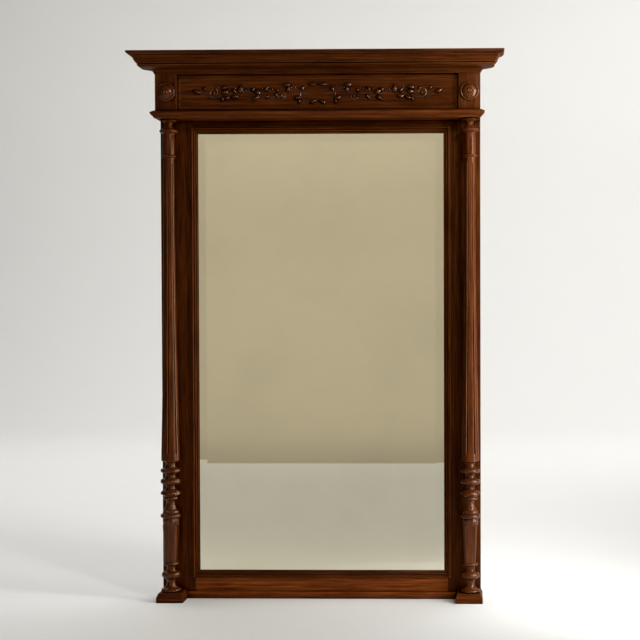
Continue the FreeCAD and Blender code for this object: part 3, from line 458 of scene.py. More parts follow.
def aged_deal(tree=0):
    """Bare deal gone brown, with its grain along X. Boards of one tree have like grain and tone."""
    name = "aged_deal_%d" % tree
    if name in bpy.data.materials:
        return bpy.data.materials[name]
    shades = colours()
    finish = Finish(name)
    shift = tuple(step * tree for step in DEAL_SHIFT)
    figure = finish.noise(
        finish.stretched(DEAL_FIGURE, shift), scale=85.0, detail=5.0, roughness=0.6, distortion=0.6
    )
    streak = finish.noise(finish.stretched(DEAL_STREAK, shift), scale=420.0, detail=3.0)
    stain = finish.noise(finish.stretched(EVEN, shift), scale=5.0, detail=4.0, roughness=0.6)
    body = finish.ramp(figure, list(zip(DEAL_PLACES, (shades.deal_dark, shades.deal_light))))
    body = finish.darken(body, finish.grey_ramp(streak, STREAK_STOPS), STREAK_SHARE)
    stains = [(position, level * DEAL_TONES[tree]) for position, level in STAIN_STOPS]
    body = finish.darken(body, finish.grey_ramp(stain, stains))
    finish.shade(
        Base_Color=finish.darken(body, finish.hollow_dirt_and_shade(DEAL_HOLLOW_REACH), HOLLOW_SHARE),
        Roughness=finish.between(streak, *DEAL_ROUGHNESS),
        Normal=finish.bump(streak, DEAL_BUMP, GRAIN_DEPTH),
    )
    return finish.material


# Glass: stops of the haze as position and level, brightness of hazy glass, roughness from clear to hazy
HAZE_STOPS = ((0.45, 0.0), (0.75, 1.0))
HAZE_BRIGHTNESS = 0.93
GLASS_ROUGHNESS = (0.004, 0.022)


def silvered_glass():
    """Old mirror glass with a faint haze."""
    name = "silvered_glass_face"
    if name in bpy.data.materials:
        return bpy.data.materials[name]
    finish = Finish(name)
    haze = finish.noise(finish.stretched(EVEN), scale=3.0, detail=5.0, roughness=0.6)
    clear = tuple(colours().glass_tint)
    hazy = tuple(channel * HAZE_BRIGHTNESS for channel in clear[:3]) + (1.0,)
    finish.shade(
        Base_Color=finish.mix(finish.grey_ramp(haze, HAZE_STOPS), clear, hazy),
        Metallic=1.0,
        Roughness=finish.between(haze, *GLASS_ROUGHNESS),
    )
    return finish.material


# Metal: stops of the tarnish as position and level, strength and reach of dark hollows, bump and its depth
TARNISH_STOPS = ((0.46, 0.0), (0.68, 0.85))
METAL_HOLLOW_SHARE = 0.8
METAL_HOLLOW_REACH = 0.006
METAL_BUMP = 0.15
METAL_DEPTH = 0.0003


def worn_metal(name, base, grain_scale, roughness):
    """Bare metal with spots of tarnish."""
    if name in bpy.data.materials:
        return bpy.data.materials[name]
    finish = Finish(name)
    spots = finish.noise(finish.stretched(EVEN), grain_scale, detail=6.0, roughness=0.65)
    body = finish.mix(finish.grey_ramp(spots, TARNISH_STOPS), tuple(base), tuple(colours().rust))
    finish.shade(
        Base_Color=finish.darken(body, finish.hollow_dirt_and_shade(METAL_HOLLOW_REACH), METAL_HOLLOW_SHARE),
        Metallic=1.0,
        Roughness=finish.between(spots, *roughness),
        Normal=finish.bump(spots, METAL_BUMP, METAL_DEPTH),
    )
    return finish.material


def aged_brass():
    return worn_metal("aged_brass", colours().brass, grain_scale=160.0, roughness=(0.25, 0.55))


def dull_steel():
    return worn_metal("dull_steel", colours().steel, grain_scale=220.0, roughness=(0.35, 0.7))


# Shapes


def turn_about(axis, degrees):
    return Matrix.Rotation(math.radians(degrees), 4, axis)


def run_points(rows, fine):
    """Points along a section, with arcs where it swells.

    A row holds across, up and the swell, to the right, of the run that leads to it.
    """
    points = [Vector((rows[0][0], rows[0][1]))]
    for across, up, swell in rows[1:]:
        start = points[-1].copy()
        end = Vector((across, up))
        chord = end - start
        if chord.length < SHORTEST_RUN:
            continue
        if swell:
            side = Vector((chord.y, -chord.x)).normalized() * math.copysign(1.0, swell)
            rise = abs(swell)
            radius = (chord.length_squared / 4 + rise * rise) / (2 * rise)
            centre = (start + end) / 2 + side * (rise - radius)
            half = math.atan2(chord.length / 2, radius - rise)
            forward = chord.normalized()
            count = max(FEWEST_STEPS, round(half * fine))
            for number in range(1, count):
                angle = half * (2 * number / count - 1)
                points.append(centre + (side * math.cos(angle) + forward * math.sin(angle)) * radius)
        points.append(end)
    return points


def chain(bm, spots):
    verts = [bm.verts.new(spot) for spot in spots]
    return verts, [bm.edges.new(pair) for pair in zip(verts, verts[1:])]


def corners_of(made):
    return [thing for thing in made if isinstance(thing, bmesh.types.BMVert)]


def spin_round(bm, spots, steps):
    """Spins a chain of spots fully round the Z axis."""
    verts, edges = chain(bm, spots)
    bmesh.ops.spin(
        bm, geom=verts + edges, cent=(0, 0, 0), axis=(0, 0, 1), angle=math.tau, steps=steps, use_merge=True
    )
    bmesh.ops.remove_doubles(bm, verts=bm.verts, dist=MADE_GAP)


def lathe(bm, runs, level=0.0):
    """Turns runs of rise, radius and swell about the Z axis, starting at a level. All in millimetres."""
    height = level
    rows = [(0.0, level, 0.0)]
    for rise, radius, swell in runs:
        height += rise
        rows.append((radius, height, swell))
    if rows[-1][0] > 0:
        rows.append((0.0, height, 0.0))
    points = run_points(rows, TURNED_FINENESS)
    spots = [Vector((max(point.x, 0.0) * MM, 0.0, point.y * MM)) for point in points]
    spin_round(bm, spots, sizes().turning_steps)


def soften(bm, width, shortest=SHORTEST_EDGE):
    """Rounds the long sharp edges of a shape."""
    sharp = [
        edge
        for edge in bm.edges
        if len(edge.link_faces) == 2
        and edge.calc_face_angle(0.0) > math.radians(SHARP_ANGLE)
        and edge.calc_length() > shortest
    ]
    bmesh.ops.bevel(
        bm,
        geom=sharp,
        offset=width,
        offset_type="OFFSET",
        segments=ARRIS_FACETS,
        profile=0.5,
        affect="EDGES",
        clamp_overlap=True,
        material=-1,
    )


def copied(node):
    """The joined-up shape of a node of the frame."""
    bm = bmesh.new()
    bm.from_mesh(frame["nodes"][node].data)
    bmesh.ops.remove_doubles(bm, verts=bm.verts, dist=FRAME_GAP)
    flat = math.radians(FLAT_ANGLE)
    bmesh.ops.dissolve_limit(bm, angle_limit=flat, verts=bm.verts, edges=bm.edges, delimit={"NORMAL"})
    return bm


def set_piece(name, bm, finish, nodes, body="frame", crease=BOARD_CREASE):
    """Makes a finished piece of a shape, hides the nodes that it stands for and lets it ride on its body."""
    if not bm.faces:
        raise RuntimeError(name + " has no faces")
    bmesh.ops.remove_doubles(bm, verts=bm.verts, dist=MADE_GAP)
    bmesh.ops.recalc_face_normals(bm, faces=bm.faces)
    mesh = bpy.data.meshes.new(name)
    bm.to_mesh(mesh)
    bm.free()
    mesh.shade_smooth()
    mesh.set_sharp_from_angle(angle=math.radians(crease))
    mesh.materials.append(finish)
    piece = bpy.data.objects.new(name, mesh)
    bpy.context.scene.collection.objects.link(piece)
    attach(piece, body)
    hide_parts(*nodes)


def dress(node, finish):
    """Gives a node of the frame its finish and leaves its shape alone."""
    thing = frame["nodes"][node]
    thing.data.materials.clear()
    thing.data.materials.append(finish)


def both_sides(node):
    return ["left_" + node, "right_" + node]


def board_pieces(nodes, finish, width=None):
    """Pieces that are nodes of the frame with softened edges."""
    for node in nodes:
        bm = copied(node)
        soften(bm, sizes().arris if width is None else width)
        set_piece(node + "_wood", bm, finish, [node])


# Pieces


class FLOORMIRROR_OT_frame_boards(bpy.types.Operator):
    """Stiles, rails and pegs of the frame round the glass"""

    bl_idname = "floor_mirror.frame_boards"
    bl_label = "Frame boards"

    def execute(self, context):
        # Stiles and top rail take the darker tone: painted shade where the columns and the shelf above shadow
        # them
        board_pieces(both_sides("stile"), stained_oak("z", tone="dark"))
        board_pieces(["top_rail"], stained_oak("x", tone="dark"))
        # Bottom rail and base strip are painted lighter: painted light thrown up from the floor
        board_pieces(["bottom_rail", "base_strip"], stained_oak("x", tone="rubbed"))
        dress("joint_pegs", stained_oak("y"))
        return {"FINISHED"}


class FLOORMIRROR_OT_sight_mouldings(bpy.types.Operator):
    """Mitred mouldings round the sight of the glass"""

    bl_idname = "floor_mirror.sight_mouldings"
    bl_label = "Sight mouldings"

    def execute(self, context):
        board_pieces(both_sides("sight_moulding"), stained_oak("z"), width=SIGHT_ARRIS)
        board_pieces(["top_sight_moulding", "bottom_sight_moulding"], stained_oak("x"), width=SIGHT_ARRIS)
        return {"FINISHED"}


class FLOORMIRROR_OT_glass(bpy.types.Operator):
    """Bevelled mirror glass with its blocks and wedges"""

    bl_idname = "floor_mirror.glass"
    bl_label = "Mirror glass"

    def execute(self, context):
        dress("mirror_glass", silvered_glass())
        dress("glass_setting_blocks", aged_deal())
        dress("glass_wedges", aged_deal())
        return {"FINISHED"}


def place_in_row(bm, side, level, turn=0.0):
    """Sets a part of a column on its axis, at a level in metres and turned in degrees."""
    move = Matrix.Translation((side * COLUMN_X, COLUMN_Y, level)) @ turn_about("Z", turn)
    bmesh.ops.transform(bm, matrix=move, verts=bm.verts)


class FLOORMIRROR_OT_columns(bpy.types.Operator):
    """Turned balusters, fluted shafts and turned capitals"""

    bl_idname = "floor_mirror.columns"
    bl_label = "Columns"

    def execute(self, context):
        for side, label in SIDES:
            self.baluster(side, label)
            self.shaft(side, label)
            self.capital(side, label)
        return {"FINISHED"}

    def baluster(self, side, label):
        bm = bmesh.new()
        lathe(bm, BALUSTER_FOOT)
        foot = sum(run[0] for run in BALUSTER_FOOT)
        lathe(bm, BALUSTER_HEAD, foot + VASE_HEIGHT)
        add_vase(bm, foot)
        collar = Vector((0.0, -COLLAR_RADIUS, foot + VASE_HEIGHT + COLLAR_LEVEL)) * MM
        upright = Matrix.Translation(collar) @ turn_about("Y", QUARTER_TURN)
        leaf = [size * MM for size in (COLLAR_LEAF_LENGTH, COLLAR_LEAF_BREADTH, COLLAR_LEAF_RISE)]
        for number in range(COLLAR_LEAVES):
            turn = Matrix.Rotation(math.tau * (number + 0.5) / COLLAR_LEAVES, 4, "Z")
            add_leaf(bm, *leaf, 0.0, turn @ upright)
        place_in_row(bm, side, PLINTH_TOP)
        set_piece(label + "_baluster_turning", bm, stained_oak("z", "polished"), [label + "_baluster"])

    def shaft(self, side, label):
        lowest, highest = SHAFT_RIM, SHAFT_HEIGHT - SHAFT_NECK
        rows = [(0.0, 0.0), (SHAFT_FOOT - SHAFT_FOOT_EASE, 0.0)]
        rows += [(shaft_radius(level), level) for level in shaft_levels(lowest, highest)]
        rows += [(shaft_radius(highest), SHAFT_HEIGHT), (0.0, SHAFT_HEIGHT)]
        bm = bmesh.new()
        spots = [Vector((radius, 0.0, level)) * MM for radius, level in rows]
        spin_round(bm, spots, FLUTE_COUNT * FLUTE_STEPS)
        cut_flutes(bm, lowest, highest)
        place_in_row(bm, side, SHAFT_BOTTOM, SHAFT_TURNS[side] - QUARTER_TURN)
        waxed = stained_oak("z", "waxed")
        set_piece(label + "_shaft_fluted", bm, waxed, [label + "_shaft"], crease=SHAFT_CREASE)

    def capital(self, side, label):
        bm = bmesh.new()
        lathe(bm, CAPITAL)
        place_in_row(bm, side, CAPITAL_BOTTOM)
        set_piece(label + "_capital_turning", bm, stained_oak("z", "waxed"), [label + "_capital"])


def add_vase(bm, level):
    """A tapered square post with chamfered corners on the Z axis, standing on a level in millimetres."""
    rings = []
    for (half, chamfer), height in ((VASE_FOOT, level), (VASE_HEAD, level + VASE_HEIGHT)):
        flat = half - chamfer
        corners = [(half, flat), (flat, half), (-flat, half), (-half, flat)]
        corners += [(-across, -along) for across, along in corners]
        rings.append([bm.verts.new((across * MM, along * MM, height * MM)) for across, along in corners])
    ends = [bm.faces.new(ring) for ring in rings]
    bmesh.ops.bridge_loops(bm, edges=[edge for face in ends for edge in face.edges])
    upright = [bm.edges.get(pair) for pair in zip(*rings)]
    bmesh.ops.bevel(
        bm,
        geom=upright,
        offset=VASE_ARRIS * MM,
        segments=ARRIS_FACETS,
        profile=0.5,
        affect="EDGES",
        material=-1,
    )


def shaft_radius(level):
    share = 1.0 - level / SHAFT_HEIGHT
    return SHAFT_HEAD + (SHAFT_FOOT - SHAFT_HEAD) * share * share


def shaft_levels(lowest, highest):
    """Levels from one end of the flutes to the other, close together where the flutes run out."""
    ends = [FLUTE_END * share for share in FLUTE_END_SHARES]
    span = highest - lowest - 2 * FLUTE_END
    levels = [lowest + end for end in ends]
    levels += [lowest + FLUTE_END + span * number / SHAFT_LEVELS for number in range(1, SHAFT_LEVELS)]
    return levels + [highest - end for end in reversed(ends)]


def cut_flutes(bm, lowest, highest):
    """Hollows the flutes, with rounded ends, into a turned shaft on the Z axis."""
    pitch = math.tau / FLUTE_COUNT
    half = math.radians(FLUTE_HALF_ANGLE)
    deepest = sizes().flute_depth
    for vert in bm.verts:
        level = vert.co.z / MM
        near = min(level - lowest, highest - level) / FLUTE_END
        if near <= 0.0 or vert.co.xy.length < MM:
            continue
        angle = (math.atan2(vert.co.y, vert.co.x) + pitch / 2) % pitch - pitch / 2
        reach = half * math.sqrt(1 - (1 - min(near, 1.0)) ** 2)
        depth = deepest * max(0.0, 1 - (angle / reach) ** 2) * reach / half
        vert.co.x *= 1 - depth
        vert.co.y *= 1 - depth


class FLOORMIRROR_OT_plinths(bpy.types.Operator):
    """Plinths under the columns"""

    bl_idname = "floor_mirror.plinths"
    bl_label = "Plinths"

    def execute(self, context):
        board_pieces(both_sides("plinth"), stained_oak("x"))
        return {"FINISHED"}


class FLOORMIRROR_OT_frieze(bpy.types.Operator):
    """Architrave shelf, frieze panel, blocks, roundels and end boards"""

    bl_idname = "floor_mirror.frieze"
    bl_label = "Frieze"

    def execute(self, context):
        board_pieces(["architrave_shelf"], stained_oak("x"), width=FRIEZE_ARRIS)
        # Panel, blocks and end boards take the darker tone: painted shade
        board_pieces(["frieze_panel"], stained_oak("x", tone="dark"), width=FRIEZE_ARRIS)
        board_pieces(both_sides("frieze_block"), stained_oak("z", tone="dark"))
        board_pieces(both_sides("frieze_end_board"), stained_oak("y", tone="dark"))
        for side, label in SIDES:
            bm = bmesh.new()
            lathe(bm, ROUNDEL)
            place = Matrix.Translation((side * COLUMN_X, BLOCK_FACE, ROUNDEL_LEVEL))
            bmesh.ops.transform(bm, matrix=place @ turn_about("X", QUARTER_TURN), verts=bm.verts)
            polished = stained_oak("z", "polished")
            set_piece(label + "_roundel_turning", bm, polished, [label + "_roundel"])
        return {"FINISHED"}


# Carved foliage on the right half of the field, in millimetres from the middle of the field and in degrees
# Stem: start, length of a bay, number of bays, sway
STEM_START = 26.0
STEM_BAY = 84.0
STEM_BAYS = 4
STEM_SWAY = 10.0
# Stations in a bay of the stem, facets round it, its depth as a share of its width, how far it thins out
STEM_STATIONS = 12
STEM_FACETS = 8
STEM_FLATNESS = 0.4
STEM_TAPER = 0.35
# Stations of a scroll, how late it winds in, how far it thins out
SCROLL_STATIONS = 24
SCROLL_CURL = 1.3
SCROLL_TAPER = 0.45
BERRY_ROUNDNESS = 3
# Scrolls: across, up, outer and inner radius, first and last angle, thickness
SCROLLS = (
    (321.0, 5.0, 16.0, 7.0, -120.0, 250.0, 3.1),
    (222.0, 11.0, 10.0, 4.5, -40.0, 330.0, 2.4),
    (114.0, -8.0, 11.5, 5.0, -200.0, 190.0, 2.6),
    (30.0, 2.0, 25.0, 22.0, -72.0, 74.0, 2.4),
    (262.0, 16.0, 9.0, 4.0, 250.0, 30.0, 1.9),
    (168.0, -12.0, 9.5, 4.5, 60.0, 300.0, 1.9),
    (76.0, 15.0, 9.0, 4.5, 200.0, -60.0, 1.9),
)
# Berries: across, up, radius
BERRIES = (
    (316.0, 15.0, 5.0),
    (322.0, 1.0, 4.6),
    (222.0, 11.0, 4.4),
    (151.0, 10.0, 4.4),
    (124.0, 10.0, 5.4),
    (113.0, -8.0, 4.6),
    (170.0, 13.5, 3.4),
    (336.0, -13.0, 3.2),
    (140.0, 14.0, 3.2),
)
# Leaves: root across and up, angle, length, breadth, bend
LEAVES = (
    (362.0, 3.0, 10.0, 24.0, 13.0, 20.0),
    (300.0, 15.0, 155.0, 22.0, 13.0, 40.0),
    (298.0, 5.0, 190.0, 21.0, 14.0, -20.0),
    (268.0, -9.0, 188.0, 22.0, 13.0, -25.0),
    (270.0, -10.0, 335.0, 21.0, 12.0, 25.0),
    (237.0, 1.0, 80.0, 25.0, 18.0, 20.0),
    (176.0, 0.0, 15.0, 22.0, 15.0, 25.0),
    (180.0, -10.0, 345.0, 24.0, 13.0, -25.0),
    (164.0, 6.0, 120.0, 18.0, 11.0, 30.0),
    (91.0, 3.0, 85.0, 20.0, 14.0, 30.0),
    (106.0, 25.0, 170.0, 23.0, 13.0, 25.0),
    (74.0, -11.0, 200.0, 22.0, 13.0, -30.0),
    (50.0, 6.0, 110.0, 18.0, 12.0, 25.0),
    (26.0, -29.0, 170.0, 22.0, 11.0, -20.0),
    (30.0, 27.0, 178.0, 27.0, 10.0, 0.0),
    (344.0, 10.0, 55.0, 16.0, 9.0, -40.0),
    (296.0, -8.0, 250.0, 16.0, 9.0, 40.0),
    (205.0, 5.0, 120.0, 16.0, 10.0, 40.0),
    (150.0, -3.0, 300.0, 17.0, 10.0, 30.0),
    (132.0, 3.0, 250.0, 15.0, 9.0, -30.0),
    (250.0, 4.0, 20.0, 18.0, 10.0, 35.0),
    (58.0, -16.0, 250.0, 15.0, 9.0, 30.0),
)
# Leaf outline: rows along and across, lobes and their depth, breadth at the root, run of belly and tip
LEAF_ROWS = (12, 6)
LEAF_LOBES = 2.6
LOBE_DEPTH = 0.30
LEAF_ROOT = 0.25
LEAF_BELLY = 0.7
LEAF_TIP = 6
# Leaf relief: height of the heel, run of the crown, drop to the edges, midrib depth and width, edge sweep
LEAF_HEEL = 0.30
LEAF_CROWN = 0.8
LEAF_DROP = 0.85
MIDRIB_DEPTH = 0.16
MIDRIB_WIDTH = 0.25
LEAF_SWEEP = 0.12
# Depth of the back of a leaf in its ground, in metres, and the size of a leaf over the one listed
LEAF_BACK, LEAF_FULLNESS = 0.001, 1.18


def add_leaf(bm, length, breadth, rise, bend, place):
    """A lobed leaf along X with its back in the ground, raised towards -Y."""
    rows, columns = LEAF_ROWS
    blade = bmesh.ops.create_grid(bm, x_segments=rows, y_segments=columns, size=0.5)["verts"]
    curve = math.radians(bend)
    for vert in blade:
        along, side = vert.co.x + 0.5, vert.co.y * 2
        lobe = 1 - LOBE_DEPTH + LOBE_DEPTH * abs(math.cos(along * math.pi * LEAF_LOBES))
        belly = LEAF_ROOT + (1 - LEAF_ROOT) * math.sin(math.pi * along**LEAF_BELLY)
        half = breadth / 2 * belly * lobe * (1 - along**LEAF_TIP)
        crown = LEAF_HEEL + (1 - LEAF_HEEL) * math.sin(math.pi * along**LEAF_CROWN)
        lift = rise * crown * (1 - LEAF_DROP * side * side)
        lift -= MIDRIB_DEPTH * rise * math.exp(-((side / MIDRIB_WIDTH) ** 2)) * (1 - along)
        heading = curve * along
        reach = length * along * (1 + LEAF_SWEEP * abs(side) * (1 - along))
        spine = Matrix.Rotation(-heading / 2, 3, "Y") @ Vector((reach, 0, 0))
        edge = Matrix.Rotation(-heading, 3, "Y") @ Vector((0, 0, side * half))
        vert.co = spine + edge + Vector((0, -lift, 0))
    faces = list({face for vert in blade for face in vert.link_faces})
    back = corners_of(bmesh.ops.extrude_face_region(bm, geom=faces)["geom"])
    for vert in back:
        vert.co.y = LEAF_BACK
    bmesh.ops.transform(bm, matrix=place, verts=blade + back)


def on_field(across, up):
    return Vector((across * MM, FIELD_FACE, FIELD_MIDDLE + up * MM))


def add_stem(bm, stations):
    """A flat stem through stations of across, up and thickness in millimetres, half sunk in the field."""
    spots = [on_field(across, up) for across, up, thick in stations]
    frames = []
    for number, (spot, station) in enumerate(zip(spots, stations)):
        ahead = spots[min(number + 1, len(spots) - 1)] - spots[max(number - 1, 0)]
        heading = Matrix.Rotation(-math.atan2(ahead.z, ahead.x), 4, "Y")
        thick = station[2] * MM
        section = Matrix.Diagonal((thick, thick * STEM_FLATNESS, thick, 1.0))
        frames.append(Matrix.Translation(spot) @ heading @ section)
    upright = turn_about("Y", QUARTER_TURN)
    ring = bmesh.ops.create_circle(bm, segments=STEM_FACETS, radius=1.0, matrix=upright)["verts"]
    bmesh.ops.transform(bm, matrix=frames[0], verts=ring)
    edges = list({edge for vert in ring for edge in vert.link_edges})
    first = edges
    for old, new in zip(frames, frames[1:]):
        made = bmesh.ops.extrude_edge_only(bm, edges=edges)["geom"]
        moved = corners_of(made)
        bmesh.ops.transform(bm, matrix=new @ old.inverted(), verts=moved)
        lines = [thing for thing in made if isinstance(thing, bmesh.types.BMEdge)]
        edges = [edge for edge in lines if set(edge.verts) <= set(moved)]
    bmesh.ops.holes_fill(bm, edges=first + edges, sides=0)


def stem_stations():
    """The wavy stem along the field."""
    thick = sizes().stem_radius / MM
    for number in range(STEM_BAYS * STEM_STATIONS + 1):
        share = number / STEM_STATIONS
        up = STEM_SWAY * math.sin(math.pi * share)
        yield STEM_START + STEM_BAY * share, up, thick * (1.0 - STEM_TAPER * share / STEM_BAYS)


def scroll_stations(across, up, outer, inner, start, end, thick):
    for number in range(SCROLL_STATIONS + 1):
        share = number / SCROLL_STATIONS
        angle = math.radians(start + (end - start) * share)
        radius = outer + (inner - outer) * share**SCROLL_CURL
        taper = thick * (1.0 - SCROLL_TAPER * share)
        yield across + radius * math.cos(angle), up + radius * math.sin(angle), taper


class FLOORMIRROR_OT_carving(bpy.types.Operator):
    """Carved foliage on the field of the frieze"""

    bl_idname = "floor_mirror.carving"
    bl_label = "Carved foliage"

    def execute(self, context):
        bm = bmesh.new()
        add_stem(bm, list(stem_stations()))
        for scroll in SCROLLS:
            add_stem(bm, list(scroll_stations(*scroll)))
        for across, up, radius in BERRIES:
            spot = Matrix.Translation(on_field(across, up))
            bmesh.ops.create_icosphere(bm, subdivisions=BERRY_ROUNDNESS, radius=radius * MM, matrix=spot)
        rise = sizes().leaf_relief
        full = LEAF_FULLNESS * MM
        for across, up, angle, length, breadth, bend in LEAVES:
            place = Matrix.Translation(on_field(across, up)) @ turn_about("Y", -angle)
            add_leaf(bm, length * full, breadth * full, rise, bend, place)
        bmesh.ops.mirror(bm, geom=bm.verts[:] + bm.edges[:] + bm.faces[:], merge_dist=-1.0, axis="X")
        # The foliage takes the deepest tone: painted shade
        carved = stained_oak("x", "carved", "deep")
        set_piece("frieze_foliage", bm, carved, ["frieze_carving"], crease=CARVING_CREASE)
        return {"FINISHED"}


class FLOORMIRROR_OT_cornice(bpy.types.Operator):
    """Bed moulding, soffit, crown moulding and top board"""

    bl_idname = "floor_mirror.cornice"
    bl_label = "Cornice"

    def execute(self, context):
        # The cornice takes the darker tone: painted shade
        lengthwise, crosswise = stained_oak("x", tone="dark"), stained_oak("y", tone="dark")
        board_pieces(["front_bed_moulding", "front_crown_moulding"], lengthwise, width=MOULDING_ARRIS)
        returns = both_sides("bed_moulding") + both_sides("crown_moulding")
        board_pieces(returns, crosswise, width=MOULDING_ARRIS)
        board_pieces(["soffit_board", "cornice_top_board"], lengthwise, width=CORNICE_ARRIS)
        board_pieces(both_sides("cornice_end_board"), crosswise)
        board_pieces(["cornice_back_board"], aged_deal())
        dress("cornice_glue_blocks", aged_deal())
        return {"FINISHED"}


class FLOORMIRROR_OT_back(bpy.types.Operator):
    """Back boards, turn buttons, hangers and screws"""

    bl_idname = "floor_mirror.back"
    bl_label = "Back boards and fittings"

    def execute(self, context):
        for number in range(1, BACK_BOARDS + 1):
            board_pieces(["back_board_%d" % number], aged_deal(number), DEAL_ARRIS)
        for label in ("left", "right"):
            for number in range(1, BUTTONS_TO_A_SIDE + 1):
                button = "%s_turn_button_%d" % (label, number)
                bm = copied(button)
                soften(bm, BRASS_ARRIS, shortest=0.0)
                set_piece(button + "_brass", bm, aged_brass(), [button], button)
            dress(label + "_hanger_strap", dull_steel())
            dress(label + "_hanger_ring", dull_steel())
        for node in ("turn_button_screws", "hanger_screws", "frame_screws"):
            dress(node, dull_steel())
        return {"FINISHED"}


# Stage

# Sections of the floor, and of the paper behind the camera, in metres: back, up, swell of the run before
FLOOR_SECTION = ((-3.55, 0.0, 0.0), (5.5, 0.0, 0.0), (8.0, 2.5, 0.73), (8.0, 7.0, 0.0))
SWEEP_SECTION = ((-3.55, 0.0, 0.0), (-6.0, 0.0, 0.0), (-8.0, 2.0, -0.59), (-8.0, 7.0, 0.0))
GROUND_HALF_WIDTH = 12.0
# Paint of the ground: colour of its mottling, strength of the mottling, roughness
PAINT_GREY = (0.5, 0.5, 0.5, 1.0)
PAINT_MOTTLE = 0.06
PAINT_ROUGHNESS = 0.8
WORLD_COLOUR, WORLD_STRENGTH = (1.0, 0.97, 0.92, 1.0), 0.05
# Lights: name, place, target, breadth and height, power, spread in degrees
LIGHTS = (
    ("window", (1.30, -0.50, 1.00), (0.30, 0.35, 0.90), (0.25, 1.7), 16.5, 115.0),
    ("side_strip", (2.3, -0.15, 1.10), (0.30, 0.02, 0.90), (0.3, 1.9), 10.0, 130.0),
    ("skylight", (1.6, -2.2, 2.6), (0.45, 0.0, 1.75), (0.35, 0.42), 11.0, 88.0),
    ("overhead", (0.0, 2.6, 6.0), (0.0, 2.6, 0.0), (9.0, 4.5), 380.0, 180.0),
    ("wall_wash_right", (3.5, 3.5, 4.6), (3.2, 8.0, 1.8), (3.0, 2.0), 150.0, 180.0),
    ("wall_wash_left", (-3.5, 3.5, 4.6), (-3.2, 8.0, 1.8), (3.0, 2.0), 30.0, 180.0),
    ("sweep_wash", (-0.9, -5.4, 4.2), (-0.9, -8.0, 0.3), (9.0, 0.8), 205.0, 180.0),
)
# Camera: place and reach in metres, turns in degrees, lens and sensor in millimetres, shift of the picture
CAMERA_PLACE, CAMERA_REACH = (0.478, -3.933, 0.899), 100.0
CAMERA_HEADING = 1.11
CAMERA_TILT = 88.85
CAMERA_ROLL = -0.10
LENS_LENGTH = 71.35
SENSOR_WIDTH = 36.0
LENS_SHIFT = (-0.2, 0.03)
BLACK_LEVEL = (0.0012, 0.0012, 0.0012)


def swept_ground(name, section, finish):
    """A wide sheet with a section that sweeps up at its far end."""
    bm = bmesh.new()
    points = run_points(section, GROUND_FINENESS)
    verts, edges = chain(bm, [Vector((-GROUND_HALF_WIDTH, point.x, point.y)) for point in points])
    moved = corners_of(bmesh.ops.extrude_edge_only(bm, edges=edges)["geom"])
    bmesh.ops.translate(bm, vec=(2 * GROUND_HALF_WIDTH, 0, 0), verts=moved)
    mesh = bpy.data.meshes.new(name)
    bm.to_mesh(mesh)
    bm.free()
    mesh.shade_smooth()
    mesh.materials.append(finish)
    ground = bpy.data.objects.new(name, mesh)
    bpy.context.scene.collection.objects.link(ground)


def plain_paint(name, shade):
    finish = Finish(name)
    grain = finish.noise(finish.stretched(EVEN), scale=2.0, detail=2.0)
    mottle = finish.between(grain, 0.0, PAINT_MOTTLE)
    finish.shade(Base_Color=finish.mix(mottle, tuple(shade), PAINT_GREY), Roughness=PAINT_ROUGHNESS)
    return finish.material


def soft_light(name, place, target, size, power, spread):
    lamp = bpy.data.lights.new(name, "AREA")
    lamp.shape = "RECTANGLE"
    lamp.size, lamp.size_y = size
    lamp.energy = power
    lamp.spread = math.radians(spread)
    thing = bpy.data.objects.new(name, lamp)
    bpy.context.scene.collection.objects.link(thing)
    aim = Vector(target) - Vector(place)
    thing.matrix_world = Matrix.Translation(place) @ aim.to_track_quat("-Z", "Y").to_matrix().to_4x4()


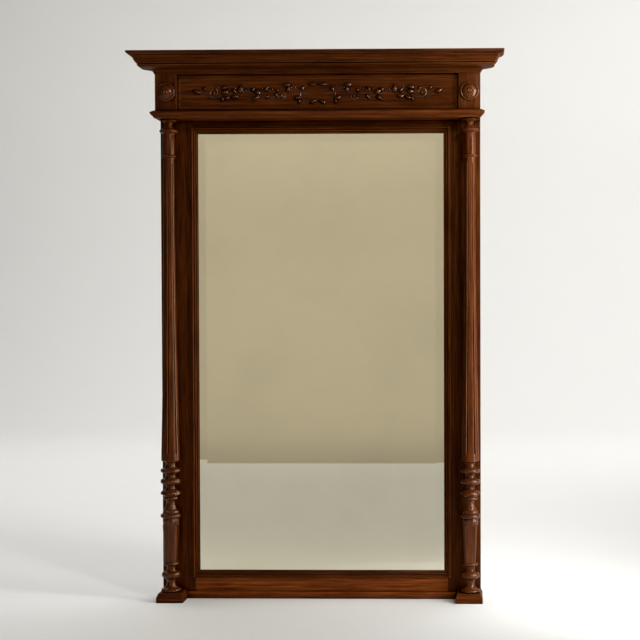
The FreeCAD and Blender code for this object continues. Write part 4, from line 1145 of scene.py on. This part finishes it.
class FLOORMIRROR_OT_stage(bpy.types.Operator):
    """Pale floor, paper sweep, soft light and camera"""

    bl_idname = "floor_mirror.stage"
    bl_label = "Stage"

    def execute(self, context):
        shades = colours()
        swept_ground("pale_floor", FLOOR_SECTION, plain_paint("floor_paint", shades.floor))
        swept_ground("paper_sweep", SWEEP_SECTION, plain_paint("sweep_paper", shades.sweep))
        world = bpy.data.worlds.new("soft_studio")
        context.scene.world = world
        world.use_nodes = True
        background = world.node_tree.nodes["Background"]
        background.inputs["Color"].default_value = WORLD_COLOUR
        background.inputs["Strength"].default_value = WORLD_STRENGTH
        for light in LIGHTS:
            soft_light(*light)
        lens = bpy.data.cameras.new("camera")
        lens.lens, lens.sensor_width = LENS_LENGTH, SENSOR_WIDTH
        lens.shift_x, lens.shift_y = LENS_SHIFT
        lens.clip_end = CAMERA_REACH
        camera = bpy.data.objects.new("camera", lens)
        context.scene.collection.objects.link(camera)
        camera.matrix_world = (
            Matrix.Translation(CAMERA_PLACE)
            @ turn_about("Z", CAMERA_HEADING)
            @ turn_about("X", CAMERA_TILT)
            @ turn_about("Z", CAMERA_ROLL)
        )
        context.scene.camera = camera
        view = context.scene.view_settings
        view.view_transform = "Standard"
        view.use_curve_mapping = True
        view.curve_mapping.black_level = BLACK_LEVEL
        return {"FINISHED"}


OPERATORS = (
    FLOORMIRROR_OT_frame_boards,
    FLOORMIRROR_OT_sight_mouldings,
    FLOORMIRROR_OT_glass,
    FLOORMIRROR_OT_plinths,
    FLOORMIRROR_OT_columns,
    FLOORMIRROR_OT_frieze,
    FLOORMIRROR_OT_carving,
    FLOORMIRROR_OT_cornice,
    FLOORMIRROR_OT_back,
    FLOORMIRROR_OT_stage,
)


class FLOORMIRROR_PT_panel(bpy.types.Panel):
    """Shows the sizes, colours and pieces of the floor mirror"""

    bl_label = "Floor Mirror"
    bl_idname = "FLOORMIRROR_PT_panel"
    bl_space_type = "VIEW_3D"
    bl_region_type = "UI"
    bl_category = "Floor Mirror"

    def draw(self, context):
        for group in (context.scene.floor_mirror_sizes, context.scene.floor_mirror_colours):
            for name in group.bl_rna.properties.keys():
                if name not in ("rna_type", "name"):
                    self.layout.prop(group, name)
        for kind in OPERATORS:
            self.layout.operator(kind.bl_idname)


CLASSES = (FloorMirrorSizes, FloorMirrorColours) + OPERATORS + (FLOORMIRROR_PT_panel,)


def register():
    for kind in CLASSES:
        bpy.utils.register_class(kind)
    bpy.types.Scene.floor_mirror_sizes = bpy.props.PointerProperty(type=FloorMirrorSizes)
    bpy.types.Scene.floor_mirror_colours = bpy.props.PointerProperty(type=FloorMirrorColours)


def unregister():
    del bpy.types.Scene.floor_mirror_colours
    del bpy.types.Scene.floor_mirror_sizes
    for kind in reversed(CLASSES):
        bpy.utils.unregister_class(kind)


def main():
    register()
    for kind in OPERATORS:
        group, name = kind.bl_idname.split(".")
        getattr(getattr(bpy.ops, group), name)()


if __name__ == "__main__":
    main()
